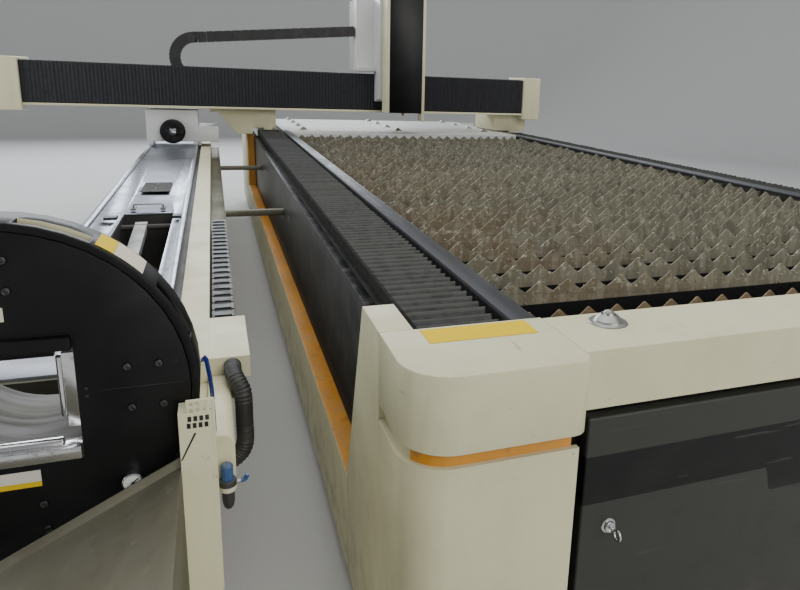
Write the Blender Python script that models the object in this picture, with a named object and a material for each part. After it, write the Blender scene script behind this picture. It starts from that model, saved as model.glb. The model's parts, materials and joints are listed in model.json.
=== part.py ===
"""Fibre laser machine for sheet and tube: a slatted sheet bed and a tube bed share one gantry.

Run with: blender --background --python part.py
Units are metres, +Z is up, +X runs across the bed and +Y runs along it, away from the front doors.
All sizes are written from a datum at the front left corner of the sheet bed, on the floor.
The empty called machine_datum then moves that datum so that the model's origin is under its middle.
"""
import math

import bpy
import bmesh
from mathutils import Matrix, Vector

# Gaps and sheet thicknesses
GAP = 0.0004
SHEET = 0.003
SHELL = 0.012
CUT_OVERRUN = 0.02

# Sheet bed, overall
BED_WIDTH = 2.62
BED_LENGTH = 6.42
BED_TOP = 0.85
SKIRT_BOTTOM = 0.075

# Welded base frame of the sheet bed
GIRDER_INSET = 0.086
GIRDER_WIDTH = 0.176
GIRDER_TOP = 0.765
FRAME_BOTTOM = 0.10
FRAME_FRONT = 0.046
CROSS_TOP = 0.60
CROSS_WIDTH = 0.12
CROSS_COUNT = 6

# Front beam, corner caps and corner posts
BEAM_DEPTH = 0.18
BEAM_HEIGHT = 0.117
CAP_WIDTH = 0.334
CAP_REACH = 0.036
CAP_BACK = 0.186
CAP_HEIGHT = 0.143
CAP_RADIUS = 0.09
CAP_END_RADIUS = 0.03
POST_SETBACK = 0.018
POST_TOP = 0.672
NECK_SETBACK = 0.034
NECK_THICKNESS = 0.006
CHEEK_THICKNESS = 0.066
CHEEK_BACK_TOP = 0.337
CHEEK_BACK_LOW = 0.52

# Side skirts with the coloured ledge, and the dark panels set back above them
RECESS_DEPTH = 0.058
LEDGE_HEIGHT = 0.347
RECESS_END = 5.20
REAR_CHEEK_TOP = 0.79
PANEL_THICKNESS = 0.012
PANEL_BOTTOM = 0.30

# Slats and what carries them
SLAT_COUNT = 32
SLAT_END_GAP = 0.114
SLAT_FRONT = 0.29
SLAT_HEIGHT = 0.15
SLAT_THICKNESS = 0.004
TOOTH_COUNT = 26
TOOTH_DEPTH = 0.028
RACK_THICKNESS = 0.025
RACK_LEDGE = 0.035
RACK_SHELF = 0.014

# Steel strips beside the slats
STRIP_WIDTH = 0.053
STRIP_INSET = 0.27
STRIP_THICKNESS = 0.012

# Rear deck
DECK_LENGTH = 1.80
DECK_THICKNESS = 0.012

# Guide rails, racks and bellows of the long travel
RAIL_INSET = 0.148
RAIL_WIDTH = 0.034
RAIL_HEIGHT = 0.035
BELLOWS_INSET = 0.076
BELLOWS_WIDTH = 0.186
BELLOWS_PITCH = 0.048
BELLOWS_VALLEY = 0.012
BELLOWS_PEAK = 0.042

# Ball transfer units
BALL_ROW_INSET = 0.455
BALL_ROW_END = 0.489
BALL_ROW_COUNT = 3
BALL_FRONT = 0.124
BALL_REAR_END = 0.15
BALL_REAR_PITCH = 0.42
BALL_REAR_COUNT = 4
UNIT_RADIUS = 0.030
UNIT_HEIGHT = 0.022
UNIT_RIM = 0.004
BALL_RADIUS = 0.014
BALL_PROUD = 0.009

# Feet
FOOT_RADIUS = 0.055
FOOT_PLATE = 0.018
FOOT_STEM = 0.018
BED_FEET_COUNT = 5
TUBE_FEET_COUNT = 3
FOOT_MARGIN = 0.35

# Front doors
DOOR_TOP = 0.714
DOOR_BOTTOM = 0.11
DOOR_THICKNESS = 0.030
DOOR_SIDE_GAP = 0.018
DOOR_BEVEL = 0.003
STILE_WIDTH = 0.024
STILE_FACE = 0.006
HINGE_RADIUS = 0.005
HINGE_LENGTH = 0.07
HINGE_FACE = 0.003
HINGE_DEPTH = 0.004
WEB_FACE = 0.001
HINGE_HEIGHT_SHARES = (0.17, 0.83)
LOCK_INSET = 0.063
LOCK_HEIGHT = 0.478
LOCK_RADIUS = 0.016
LOCK_PROUD = 0.010
KEY_RADIUS = 0.013
KEY_HOLE = 0.008
KEY_THICKNESS = 0.004
KEY_SHANK = 0.014
KEY_SHANK_WIDTH = 0.007

# Gantry
GANTRY_FACE = 4.94
BEAM_LEFT = -1.59
BEAM_RIGHT_INSET = 0.133
BEAM_BOTTOM = 1.03
BEAM_TOP = 1.34
BEAM_BACK = 5.28
BEAM_DECK = 1.205
BEAM_WALL = 0.015
BEAM_RAIL_DEPTH = 0.014
BEAM_RAIL_WIDTH = 0.022
BEAM_RAIL_HEIGHTS = (1.085, 1.285)
COVER_LIP = 0.016
COVER_WALL = 0.012
BEAM_BELLOWS_DEPTH = 0.024
BEAM_BELLOWS_FOLD = 0.014
BEAM_BELLOWS_PITCH = 0.040
END_CAP_LENGTH = 0.172
END_CAP_REACH = 0.022
END_CAP_TOP = 1.36
END_CAP_NOSE = 0.10
END_CAP_DROP = 0.04
LEG_FRONT = 5.07
LEG_LENGTH = 0.50
LEG_CLEARANCE = 0.007
LEG_SIDE_DROP = 0.053
LEG_INNER = 0.232
LEG_STEP = 0.041
LEG_OUTER_LOW = 0.085
LEG_OUTER_HIGH = 0.232
LEG_OUTER_TOP = 0.292
LEG_LIP = 0.033
RIGHT_LEG_INNER = 0.36
RIGHT_LEG_OUTER = 0.03
BLOCK_WIDTH = 0.07

# Carriage, column and cutting head
CARRIAGE_LEFT = 1.06
CARRIAGE_WIDTH = 0.38
CARRIAGE_FACE = 4.87
CARRIAGE_BOTTOM = 1.13
SADDLE_DROP = 0.02
CARRIAGE_BRIDGE = 0.04
CARRIAGE_TOP = 1.95
MAST_LEFT = 0.905
MAST_BACK = 5.27
COLUMN_FACE = 4.60
COLUMN_DEPTH = 0.16
COLUMN_LEFT = 1.086
COLUMN_WIDTH = 0.328
COLUMN_BOTTOM = 1.027
COLUMN_TOP = 2.0
COLUMN_SIDE_DROP = 0.069
COLUMN_PANEL = 0.006
HEAD_RADIUS = 0.045
HEAD_BLOCK = 0.12
HEAD_TOP = 1.62
HEAD_BOTTOM = 1.10
NOZZLE_TIP = 1.0
NOZZLE_RADIUS = 0.006
HEAD_STEP = 0.028

# Cable chain above the beam
CHAIN_FACE = 5.00
CHAIN_WIDTH = 0.10
CHAIN_HEIGHT = 0.082
CHAIN_TOP = 1.61
CHAIN_RISE = 0.12
CHAIN_BEND_X = -0.373
CHAIN_LINK = 0.068
CHAIN_NOTCH = 0.006
CHAIN_FIXED_END = 0.86

# Tube bed
TUBE_AXIS_X = -0.58
TUBE_AXIS_Z = 0.8265
TUBE_HALF_WIDTH = 0.205
TUBE_FRONT = 0.50
TUBE_END = 6.0
TUBE_TOP = 0.688
TUBE_PLATE = 0.012
TUBE_RAIL_OFFSET = 0.172
TUBE_RAIL_WIDTH = 0.022
TUBE_RAIL_HEIGHT = 0.024
TUBE_COVER_WIDTH = 0.0716
TUBE_COVER_BOTTOM = 0.30
POCKET_LEFT = 0.066
POCKET_RIGHT = 0.130
POCKET_FRONT = 1.23
POCKET_BACK = 2.20
POCKET_FLOOR = 0.45
LID_FRONT = 2.77
LID_BACK = 3.06
LID_WIDTH = 0.154
LID_HEIGHT = 0.006

# Lifting arm in the pocket
ARM_WIDTH = 0.046
ARM_OFFSET = -0.024
ARM_HEIGHT = 0.03
ARM_TIP = 1.36
ARM_TIP_DROP = 0.06
ARM_PIVOT_Y = 2.05
ARM_PIVOT_Z = 0.668
ARM_TAIL = 0.04
PIVOT_RADIUS = 0.012
PIVOT_CLEARANCE = 0.0008

# Front chuck
CHUCK_FACE_Y = 0.104
CHUCK_RADIUS = 0.271
CHUCK_DEPTH = 0.086
HOUSING_WALL = 0.012
FACE_THICKNESS = 0.026
FACE_CLEARANCE = 0.0012
SLEEVE_RADIUS = 0.180
SLEEVE_WALL = 0.015
SLEEVE_BACK = 0.42
HUB_WALL = 0.022
HUB_BACK = 0.44
WINDOW_HALF = 0.10
RIM_SLOT_COUNT = 8
RIM_SLOT_ANGLE = 21.0
RIM_SLOT_START = 15.5
RIM_SLOT_WIDTH = 0.030
RIM_SLOT_SETBACK = 0.013
PEDESTAL_BACK = 0.4996
PEDESTAL_FRONT = 0.192
JAW_REST = 0.078
JAW_THICKNESS = 0.020
JAW_DEPTH = 0.042
JAW_FACE = 0.010
JAW_SIDE_REACH = 0.116
JAW_SIDE_HALF = 0.062
ROLLER_RADIUS = 0.008
ROLLER_HALF = 0.075
ROLLER_OFFSET = 0.004
GAUGE_RADIUS = 0.016
GAUGE_DEPTH = 0.018
GAUGE_OFFSET_X = 0.166
GAUGE_OFFSET_Z = 0.149

# Feeding chuck on its carriage
FEED_FACE = 5.0
FEED_LENGTH = 0.34
FEED_HALF_WIDTH = 0.195
FEED_TOP = 0.995
FEED_STEP_TOP = 0.869
FEED_STEP_WIDTH = 0.153
FEED_UNDERSIDE = 0.742
FEED_CHUCK_RADIUS = 0.095
FEED_CHUCK_DEPTH = 0.07
FEED_BORE = 0.034
FEED_JAW_WIDTH = 0.030
FEED_JAW_PROUD = 0.018
FEED_JAW_OUT = 0.078

# Covers, services and chute beside the front chuck
SERVICE_RIGHT = -0.26
SERVICE_FRONT = 0.23
SERVICE_BOTTOM = 0.545
SERVICE_TOP = 0.66
SERVICE_RADIUS = 0.02
SERVICE_GAP = 0.0024
GUARD_POST_LEFT = -0.342
GUARD_POST_RIGHT = -0.289
GUARD_POST_FRONT = 0.062
GUARD_POST_BOTTOM = 0.44
GUARD_POST_TOP = 0.798
GUARD_POST_CHAMFER = 0.03
GUARD_TOP = 0.818
GUARD_THICKNESS = 0.004
GRILLE_INSET = 0.012
GUARD_COLUMN_COUNT = 4
GUARD_ROW_COUNT = 2
CHUTE_RIDGE_Z = 0.700
CHUTE_LEFT = -0.86
CHUTE_DROP = 0.261
CHUTE_FRONT = -0.50
CHUTE_BACK = 0.080
CHUTE_RIM = 0.016
CHUTE_SHEET = 0.004
BOX_FRONT = 0.5004
BOX_BACK = 0.766
BOX_WIDTH = 0.0846
BOX_BOTTOM = 0.65
BOX_TOP = 0.70
TRAY_WIDTH = 0.0676
TRAY_BOTTOM = 0.60
TRAY_LIP = 0.03
TRAY_SHEET = 0.004
TRAY_END = 5.9
SIDE_CHAIN_END = 2.11
SIDE_CHAIN_HEIGHT = 0.076
SIDE_CHAIN_LINK = 0.062
TIE_WIDTH = 0.04
TIE_HEIGHT = 0.03
TIE_PLACES = (2.62, 4.40)
REGULATOR_RADIUS = 0.016
REGULATOR_BOTTOM = 0.519
REGULATOR_HEIGHT = 0.060
REGULATOR_NECK = 0.010
KNOB_RADIUS = 0.011
KNOB_HEIGHT = 0.031
HOSE_RADIUS = 0.019
AIR_HOSE_RADIUS = 0.004

# Places worked out from the sizes above
BEAM_RIGHT = BED_WIDTH - BEAM_RIGHT_INSET
DECK_START = BED_LENGTH - DECK_LENGTH
SLAT_PITCH = (DECK_START - SLAT_END_GAP - SLAT_FRONT) / (SLAT_COUNT - 1)
BALL_REAR_FIRST = BED_LENGTH - BALL_REAR_END - (BALL_REAR_COUNT - 1) * BALL_REAR_PITCH
BEAM_SEAT = BED_TOP - BEAM_HEIGHT
CAP_BOTTOM = BED_TOP - CAP_HEIGHT
RACK_INSET = STRIP_INSET + STRIP_WIDTH - RACK_THICKNESS - RACK_SHELF
RACK_TOP = BED_TOP - STRIP_THICKNESS - GAP
SLAT_BOTTOM = BED_TOP - SLAT_HEIGHT
SLAT_INSET = STRIP_INSET + STRIP_WIDTH + GAP
RAIL_TOP = GIRDER_TOP + GAP + RAIL_HEIGHT
LEG_UNDERSIDE = BED_TOP + LEG_CLEARANCE
LEG_TOP = BEAM_BOTTOM - COVER_LIP - GAP
CARRIAGE_RIGHT = CARRIAGE_LEFT + CARRIAGE_WIDTH
BEAM_FRONT = GANTRY_FACE + BEAM_BELLOWS_DEPTH + BEAM_RAIL_DEPTH + 2 * GAP
CHAIN_RADIUS = (CHAIN_TOP - BEAM_DECK - GAP) / 2
TUBE_LEFT = TUBE_AXIS_X - TUBE_HALF_WIDTH
TUBE_RIGHT = TUBE_AXIS_X + TUBE_HALF_WIDTH
TUBE_PLATE_TOP = TUBE_TOP + GAP + TUBE_PLATE
COVER_LEFT = TUBE_RIGHT + GAP
COVER_RIGHT = COVER_LEFT + TUBE_COVER_WIDTH
HOUSING_RIGHT = TUBE_AXIS_X + CHUCK_RADIUS
SERVICE_LEFT = HOUSING_RIGHT + SERVICE_GAP
CHUTE_RIDGE_X = GUARD_POST_LEFT - GAP
MODEL_MIDDLE_X = (BEAM_LEFT - END_CAP_LENGTH + BEAM_RIGHT + END_CAP_LENGTH) / 2
MODEL_MIDDLE_Y = (CHUTE_FRONT + BED_LENGTH) / 2

for old in list(bpy.data.objects):
    bpy.data.objects.remove(old, do_unlink=True)

datum = bpy.data.objects.new("machine_datum", None)
bpy.context.scene.collection.objects.link(datum)
datum.location = (-MODEL_MIDDLE_X, -MODEL_MIDDLE_Y, 0)


def material(name, colour, roughness, metallic):
    """One plain material with the part's colour, roughness and metallic value."""
    made = bpy.data.materials.new(name)
    made.use_nodes = True
    shader = made.node_tree.nodes["Principled BSDF"]
    shader.inputs["Base Color"].default_value = (*colour, 1.0)
    shader.inputs["Roughness"].default_value = roughness
    shader.inputs["Metallic"].default_value = metallic
    made.diffuse_color = (*colour, 1.0)
    return made


CREAM = material("cream_paint", (0.66, 0.62, 0.50), 0.45, 0.0)
DARK = material("dark_grey_paint", (0.055, 0.056, 0.058), 0.35, 0.0)
BLACK = material("black_paint", (0.012, 0.012, 0.013), 0.40, 0.0)
FRAME = material("frame_paint", (0.10, 0.10, 0.105), 0.55, 0.0)
BELLOWS = material("bellows_cloth", (0.035, 0.036, 0.040), 0.75, 0.0)
STEEL = material("machined_steel", (0.62, 0.64, 0.68), 0.28, 1.0)
SLAT = material("slat_steel", (0.20, 0.16, 0.11), 0.60, 0.9)
GALVANISED = material("galvanised_sheet", (0.38, 0.38, 0.33), 0.45, 1.0)
WHITE = material("white_paint", (0.70, 0.71, 0.72), 0.40, 0.0)
CHROME = material("chrome", (0.75, 0.75, 0.76), 0.12, 1.0)
PLASTIC = material("black_plastic", (0.020, 0.020, 0.022), 0.50, 0.0)
BLUE = material("blue_plastic", (0.02, 0.10, 0.30), 0.35, 0.0)


def place(name, bm, surface, origin=(0, 0, 0), smooth=None):
    """Turn a bmesh in datum coordinates into a named object whose own origin lies at origin."""
    bmesh.ops.recalc_face_normals(bm, faces=bm.faces)
    bmesh.ops.translate(bm, verts=bm.verts, vec=-Vector(origin))
    mesh = bpy.data.meshes.new(name)
    bm.to_mesh(mesh)
    bm.free()
    mesh.materials.append(surface)
    obj = bpy.data.objects.new(name, mesh)
    bpy.context.scene.collection.objects.link(obj)
    obj.parent = datum
    obj.location = origin
    if smooth is not None:
        mesh.shade_smooth()
        mesh.set_sharp_from_angle(angle=math.radians(smooth))
    return obj


def add_box(bm, low, high):
    """A closed box between two corners."""
    made = bmesh.ops.create_cube(bm, size=1.0)["verts"]
    size = [high[i] - low[i] for i in range(3)]
    middle = [(high[i] + low[i]) / 2 for i in range(3)]
    bmesh.ops.scale(bm, verts=made, vec=size)
    bmesh.ops.translate(bm, verts=made, vec=middle)
    return made


def add_prism(bm, outline, axis, start, end):
    """A closed prism: the outline lies across the axis and runs from start to end along it.

    The outline's two coordinates are (Y, Z) for axis X, (X, Z) for axis Y and (X, Y) for axis Z.
    """
    def point(a, b, along):
        return {"X": (along, a, b), "Y": (a, along, b), "Z": (a, b, along)}[axis]

    near = [bm.verts.new(point(a, b, start)) for a, b in outline]
    far = [bm.verts.new(point(a, b, end)) for a, b in outline]
    bm.faces.new(near)
    bm.faces.new(list(reversed(far)))
    count = len(outline)
    for i in range(count):
        j = (i + 1) % count
        bm.faces.new((near[j], near[i], far[i], far[j]))
    return near + far


def add_lathe(bm, profile, centre, axis, segments):
    """Turn a profile of (radius, along) points about an axis. A radius of zero closes the end."""
    def point(radius, along, turn):
        a = radius * math.cos(turn)
        b = radius * math.sin(turn)
        local = {"X": (along, a, b), "Y": (a, along, b), "Z": (a, b, along)}[axis]
        return Vector(centre) + Vector(local)

    rings = []
    for radius, along in profile:
        if radius == 0:
            rings.append([bm.verts.new(point(0, along, 0))])
        else:
            steps = [2 * math.pi * i / segments for i in range(segments)]
            rings.append([bm.verts.new(point(radius, along, turn)) for turn in steps])
    closed = profile[0][0] != 0 and profile[-1][0] != 0
    pairs = list(zip(rings, rings[1:]))
    if closed:
        pairs.append((rings[-1], rings[0]))
    for first, second in pairs:
        for i in range(segments):
            j = (i + 1) % segments
            corners = [first[i % len(first)], first[j % len(first)]]
            corners += [second[j % len(second)], second[i % len(second)]]
            unique = list(dict.fromkeys(corners))
            bm.faces.new(unique)


def add_lattice(bm, xs, ys, zs, solid):
    """One body made of the cells of a grid for which solid(i, j, k) holds."""
    verts = {}

    def vert(i, j, k):
        if (i, j, k) not in verts:
            verts[i, j, k] = bm.verts.new((xs[i], ys[j], zs[k]))
        return verts[i, j, k]

    counts = (len(xs) - 1, len(ys) - 1, len(zs) - 1)

    def filled(cell):
        inside = all(0 <= cell[n] < counts[n] for n in range(3))
        return inside and solid(*cell)

    for i in range(counts[0]):
        for j in range(counts[1]):
            for k in range(counts[2]):
                if not filled((i, j, k)):
                    continue
                for n in range(3):
                    for side in (0, 1):
                        beside = [i, j, k]
                        beside[n] += 2 * side - 1
                        if filled(tuple(beside)):
                            continue
                        corners = []
                        for a, b in ((0, 0), (1, 0), (1, 1), (0, 1)):
                            corner = [i, j, k]
                            corner[n] += side
                            corner[(n + 1) % 3] += a
                            corner[(n + 2) % 3] += b
                            corners.append(vert(*corner))
                        bm.faces.new(corners)
    straight = math.radians(1.0)
    bmesh.ops.dissolve_limit(bm, angle_limit=straight, verts=bm.verts, edges=bm.edges)


def arc(centre, radius, start, end, steps):
    """Points along an arc, in degrees, both ends included."""
    turns = [math.radians(start + (end - start) * i / steps) for i in range(steps + 1)]
    return [(centre[0] + radius * math.cos(t), centre[1] + radius * math.sin(t)) for t in turns]


def mirrored(bm):
    """Turn a left-hand shape into its right-hand twin across the middle of the sheet bed."""
    middle = Matrix.Translation((-BED_WIDTH / 2, 0, 0))
    bmesh.ops.scale(bm, verts=bm.verts, vec=(-1, 1, 1), space=middle)


def sided(bm, side):
    """Leave a left-hand shape as it is, or mirror it for the right."""
    if side == "right":
        mirrored(bm)
    return bm


def cutter(name, bm):
    """A hidden shape for a Boolean modifier."""
    obj = place(name, bm, FRAME)
    obj.hide_render = True
    obj.display_type = "WIRE"
    return obj


def combine(obj, other, operation):
    """Cut other from obj, or join it to obj, with an exact Boolean."""
    boolean = obj.modifiers.new(operation.lower(), "BOOLEAN")
    boolean.operation = operation
    boolean.solver = "EXACT"
    boolean.object = other


def bevel(obj, width, segments):
    """Round or break the edges that turn by more than a third of a right angle."""
    edge = obj.modifiers.new("edges", "BEVEL")
    edge.width = width
    edge.segments = segments
    edge.limit_method = "ANGLE"
    edge.angle_limit = math.radians(30)


def foot_profile():
    """Radius and height along a levelling foot, from its pad up into the frame above."""
    return [
        (0, 0),
        (FOOT_RADIUS, 0),
        (FOOT_RADIUS, FOOT_PLATE),
        (FOOT_STEM, FOOT_PLATE),
        (FOOT_STEM, FRAME_BOTTOM + FOOT_PLATE),
        (0, FRAME_BOTTOM + FOOT_PLATE),
    ]


def spread(start, end, count):
    """Places at equal steps, both ends included."""
    return [start + (end - start) * i / (count - 1) for i in range(count)]


def bed_frame():
    """Two long box girders joined by cross members, with the guide rails and feet fixed to them."""
    bm = bmesh.new()
    inner = GIRDER_INSET + GIRDER_WIDTH
    seat = CAP_WIDTH + GAP
    xs = [GIRDER_INSET, inner, seat, BED_WIDTH - seat, BED_WIDTH - inner, BED_WIDTH - GIRDER_INSET]
    back = BED_LENGTH - SHELL
    span = (back - FRAME_FRONT - CROSS_WIDTH) / (CROSS_COUNT - 1)
    ys = [FRAME_FRONT, FRAME_FRONT + CROSS_WIDTH, CAP_BACK + GAP]
    for i in range(1, CROSS_COUNT):
        ys += [FRAME_FRONT + i * span, FRAME_FRONT + i * span + CROSS_WIDTH]
    zs = [FRAME_BOTTOM, CROSS_TOP, CAP_BOTTOM - GAP, BEAM_SEAT - GAP, GIRDER_TOP]

    def solid(i, j, k):
        if i in (0, 4):
            return k <= (2, 1)[j] if j < 2 else True
        if j == 0:
            return k <= 1 or (k == 2 and i == 2)
        return j >= 3 and j % 2 == 1 and k == 0

    add_lattice(bm, xs, ys, zs, solid)
    obj = place("bed_frame", bm, FRAME)
    rails = bmesh.new()
    for left in (RAIL_INSET, BED_WIDTH - RAIL_INSET - RAIL_WIDTH):
        low = (left, CAP_BACK + GAP, GIRDER_TOP - SHEET)
        add_box(rails, low, (left + RAIL_WIDTH, back - GAP, RAIL_TOP))
    combine(obj, cutter("bed_rails", rails), "UNION")
    feet = bmesh.new()
    middle = GIRDER_INSET + GIRDER_WIDTH / 2
    for x in (middle, BED_WIDTH - middle):
        for y in spread(FOOT_MARGIN, BED_LENGTH - FOOT_MARGIN, BED_FEET_COUNT):
            add_lathe(feet, foot_profile(), (x, y, 0), "Z", 8)
    combine(obj, cutter("bed_feet", feet), "UNION")


def side_skirt(side):
    """Outer lower panel whose top is the coloured ledge, with an upright cheek at the far end."""
    bm = bmesh.new()
    outline = [
        (CHEEK_BACK_LOW + GAP, SKIRT_BOTTOM),
        (BED_LENGTH, SKIRT_BOTTOM),
        (BED_LENGTH, REAR_CHEEK_TOP),
        (RECESS_END, REAR_CHEEK_TOP),
        (RECESS_END, LEDGE_HEIGHT),
        (CHEEK_BACK_LOW + GAP, LEDGE_HEIGHT),
    ]
    add_prism(bm, outline, "X", 0, RECESS_DEPTH)
    place("side_skirt_" + side, sided(bm, side), CREAM)


def side_panel(side):
    """Dark panel behind the ledge, with a flange on top that reaches the girder."""
    top = GIRDER_TOP
    slope = (CHEEK_BACK_LOW - CHEEK_BACK_TOP) / (BED_TOP - LEDGE_HEIGHT)
    front_top = CHEEK_BACK_TOP + (BED_TOP - top) * slope + GAP
    outline = [
        (CHEEK_BACK_LOW + GAP, PANEL_BOTTOM),
        (RECESS_END - GAP, PANEL_BOTTOM),
        (RECESS_END - GAP, top),
        (front_top, top),
        (CHEEK_BACK_LOW + GAP, LEDGE_HEIGHT),
    ]
    bm = bmesh.new()
    left = RECESS_DEPTH + GAP
    add_prism(bm, outline, "X", left, left + PANEL_THICKNESS)
    obj = place("side_panel_" + side, sided(bm, side), DARK)
    flange = bmesh.new()
    low = (left + PANEL_THICKNESS / 2, CHEEK_BACK_LOW, top - PANEL_THICKNESS)
    high = (GIRDER_INSET - GAP, RECESS_END - GAP, top)
    add_box(flange, low, high)
    combine(obj, cutter("side_panel_flange_" + side, sided(flange, side)), "UNION")


def corner_outline(setback_front, setback_side, radius, back, right):
    """The outer edge of a front corner in plan, from its inner end round to the side."""
    front = -CAP_REACH + setback_front
    side = setback_side
    curve = arc((side + radius, front + radius), radius, 270, 180, 10)
    return [(right, front)] + curve + [(side, back)]


def corner_cap(side):
    """Pressed cap over a front corner, hollow underneath, with a large rounded corner."""
    bm = bmesh.new()
    end = arc(
        (CAP_WIDTH - CAP_END_RADIUS, -CAP_REACH + CAP_END_RADIUS), CAP_END_RADIUS, 360, 270, 4
    )
    outer = [(CAP_WIDTH, CAP_BACK)] + end + corner_outline(0, 0, CAP_RADIUS, CAP_BACK, 0)[1:]
    add_prism(bm, outer, "Z", CAP_BOTTOM, BED_TOP)
    obj = place("corner_cap_" + side, sided(bm, side), CREAM, smooth=35)
    hollow = bmesh.new()
    inside = corner_outline(SHELL, SHELL, CAP_RADIUS - SHELL, CAP_BACK - SHELL, CAP_WIDTH - SHELL)
    inside.append((CAP_WIDTH - SHELL, CAP_BACK - SHELL))
    add_prism(hollow, inside, "Z", CAP_BOTTOM - CUT_OVERRUN, BED_TOP - SHELL)
    combine(obj, cutter("corner_cap_hollow_" + side, sided(hollow, side)), "DIFFERENCE")


def sheet_outline(outer, inner):
    """A thin wall in plan between an outer edge and an inner edge."""
    return outer + list(reversed(inner))


def corner_post(side):
    """Lower corner cover: a rounded front sheet, a set-back neck under the cap and a side cheek."""
    bm = bmesh.new()
    right = CAP_WIDTH - CAP_END_RADIUS / 3
    inner_right = right - SHELL
    back = CAP_BACK + GAP + SHELL
    inside_radius = CAP_RADIUS - SHELL - NECK_THICKNESS
    inside_edge = corner_outline(NECK_SETBACK, SHELL + NECK_THICKNESS, inside_radius, back, inner_right)
    lower = sheet_outline(
        corner_outline(POST_SETBACK, GAP, CAP_RADIUS, back, right),
        corner_outline(POST_SETBACK + SHELL, SHELL, CAP_RADIUS - SHELL, back, right),
    )
    add_prism(bm, lower, "Z", SKIRT_BOTTOM, POST_TOP)
    obj = place("corner_post_" + side, sided(bm, side), CREAM, smooth=35)
    ring = bmesh.new()
    shelf = corner_outline(POST_SETBACK + SHELL / 2, SHELL / 2, CAP_RADIUS - SHELL / 2, back, inner_right)
    add_prism(ring, sheet_outline(shelf, inside_edge), "Z", POST_TOP - SHELL, POST_TOP - GAP)
    combine(obj, cutter("corner_post_ring_" + side, sided(ring, side)), "UNION")
    neck = bmesh.new()
    outside = corner_outline(
        NECK_SETBACK - NECK_THICKNESS, SHELL + GAP, CAP_RADIUS - SHELL, back, inner_right
    )
    add_prism(neck, sheet_outline(outside, inside_edge), "Z", POST_TOP - SHELL / 2, CAP_BOTTOM - GAP)
    combine(obj, cutter("corner_post_neck_" + side, sided(neck, side)), "UNION")
    cheek = bmesh.new()
    outline = [
        (CAP_BACK + GAP, SKIRT_BOTTOM),
        (CHEEK_BACK_LOW, SKIRT_BOTTOM),
        (CHEEK_BACK_LOW, LEDGE_HEIGHT),
        (CHEEK_BACK_TOP, BED_TOP),
        (CAP_BACK + GAP, BED_TOP),
    ]
    add_prism(cheek, outline, "X", 0, CHEEK_THICKNESS)
    combine(obj, cutter("corner_post_cheek_" + side, sided(cheek, side)), "UNION")


def ball_unit_profile():
    """Radius and height along a ball transfer unit, from inside its carrier up to the ball's crown."""
    lip = BALL_RADIUS + UNIT_RIM
    crown = UNIT_HEIGHT - UNIT_RIM + BALL_PROUD
    low_turn = math.radians(50)
    shoulder = (BALL_RADIUS * math.sin(low_turn), crown - BALL_RADIUS * (1 - math.cos(low_turn)))
    return [
        (0, -UNIT_RIM),
        (UNIT_RADIUS, -UNIT_RIM),
        (UNIT_RADIUS, UNIT_RIM),
        (lip, UNIT_RIM * 2),
        (lip, UNIT_HEIGHT - UNIT_RIM),
        (BALL_RADIUS, UNIT_HEIGHT - UNIT_RIM),
        shoulder,
        (0, crown),
    ]


def ball_units(name, carrier, rows):
    """Ball transfer units in rows across the bed, fixed to their carrier."""
    bm = bmesh.new()
    for y in rows:
        for i in range(BALL_ROW_COUNT):
            share = i / (BALL_ROW_COUNT - 1)
            place_x = BALL_ROW_INSET + share * (BED_WIDTH - BALL_ROW_INSET - BALL_ROW_END)
            add_lathe(bm, ball_unit_profile(), (place_x, y, BED_TOP), "Z", 8)
    combine(carrier, cutter(name, bm), "UNION")


def front_beam():
    """The top of the front end, a folded cover between the two caps, with a row of ball units."""
    bm = bmesh.new()
    low = (CAP_WIDTH + GAP, 0, BEAM_SEAT)
    high = (BED_WIDTH - CAP_WIDTH - GAP, BEAM_DEPTH, BED_TOP)
    add_box(bm, low, high)
    obj = place("front_beam", bm, CREAM)
    bevel(obj, DOOR_BEVEL, 2)
    ball_units("front_ball_units", obj, [BALL_FRONT])


def rear_panel():
    """Plain cover across the far end of the sheet bed."""
    bm = bmesh.new()
    low = (RECESS_DEPTH + GAP, BED_LENGTH - SHELL + GAP, FRAME_BOTTOM)
    high = (BED_WIDTH - RECESS_DEPTH - GAP, BED_LENGTH, BED_TOP - DECK_THICKNESS - GAP)
    add_box(bm, low, high)
    place("rear_panel", bm, CREAM)


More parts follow.
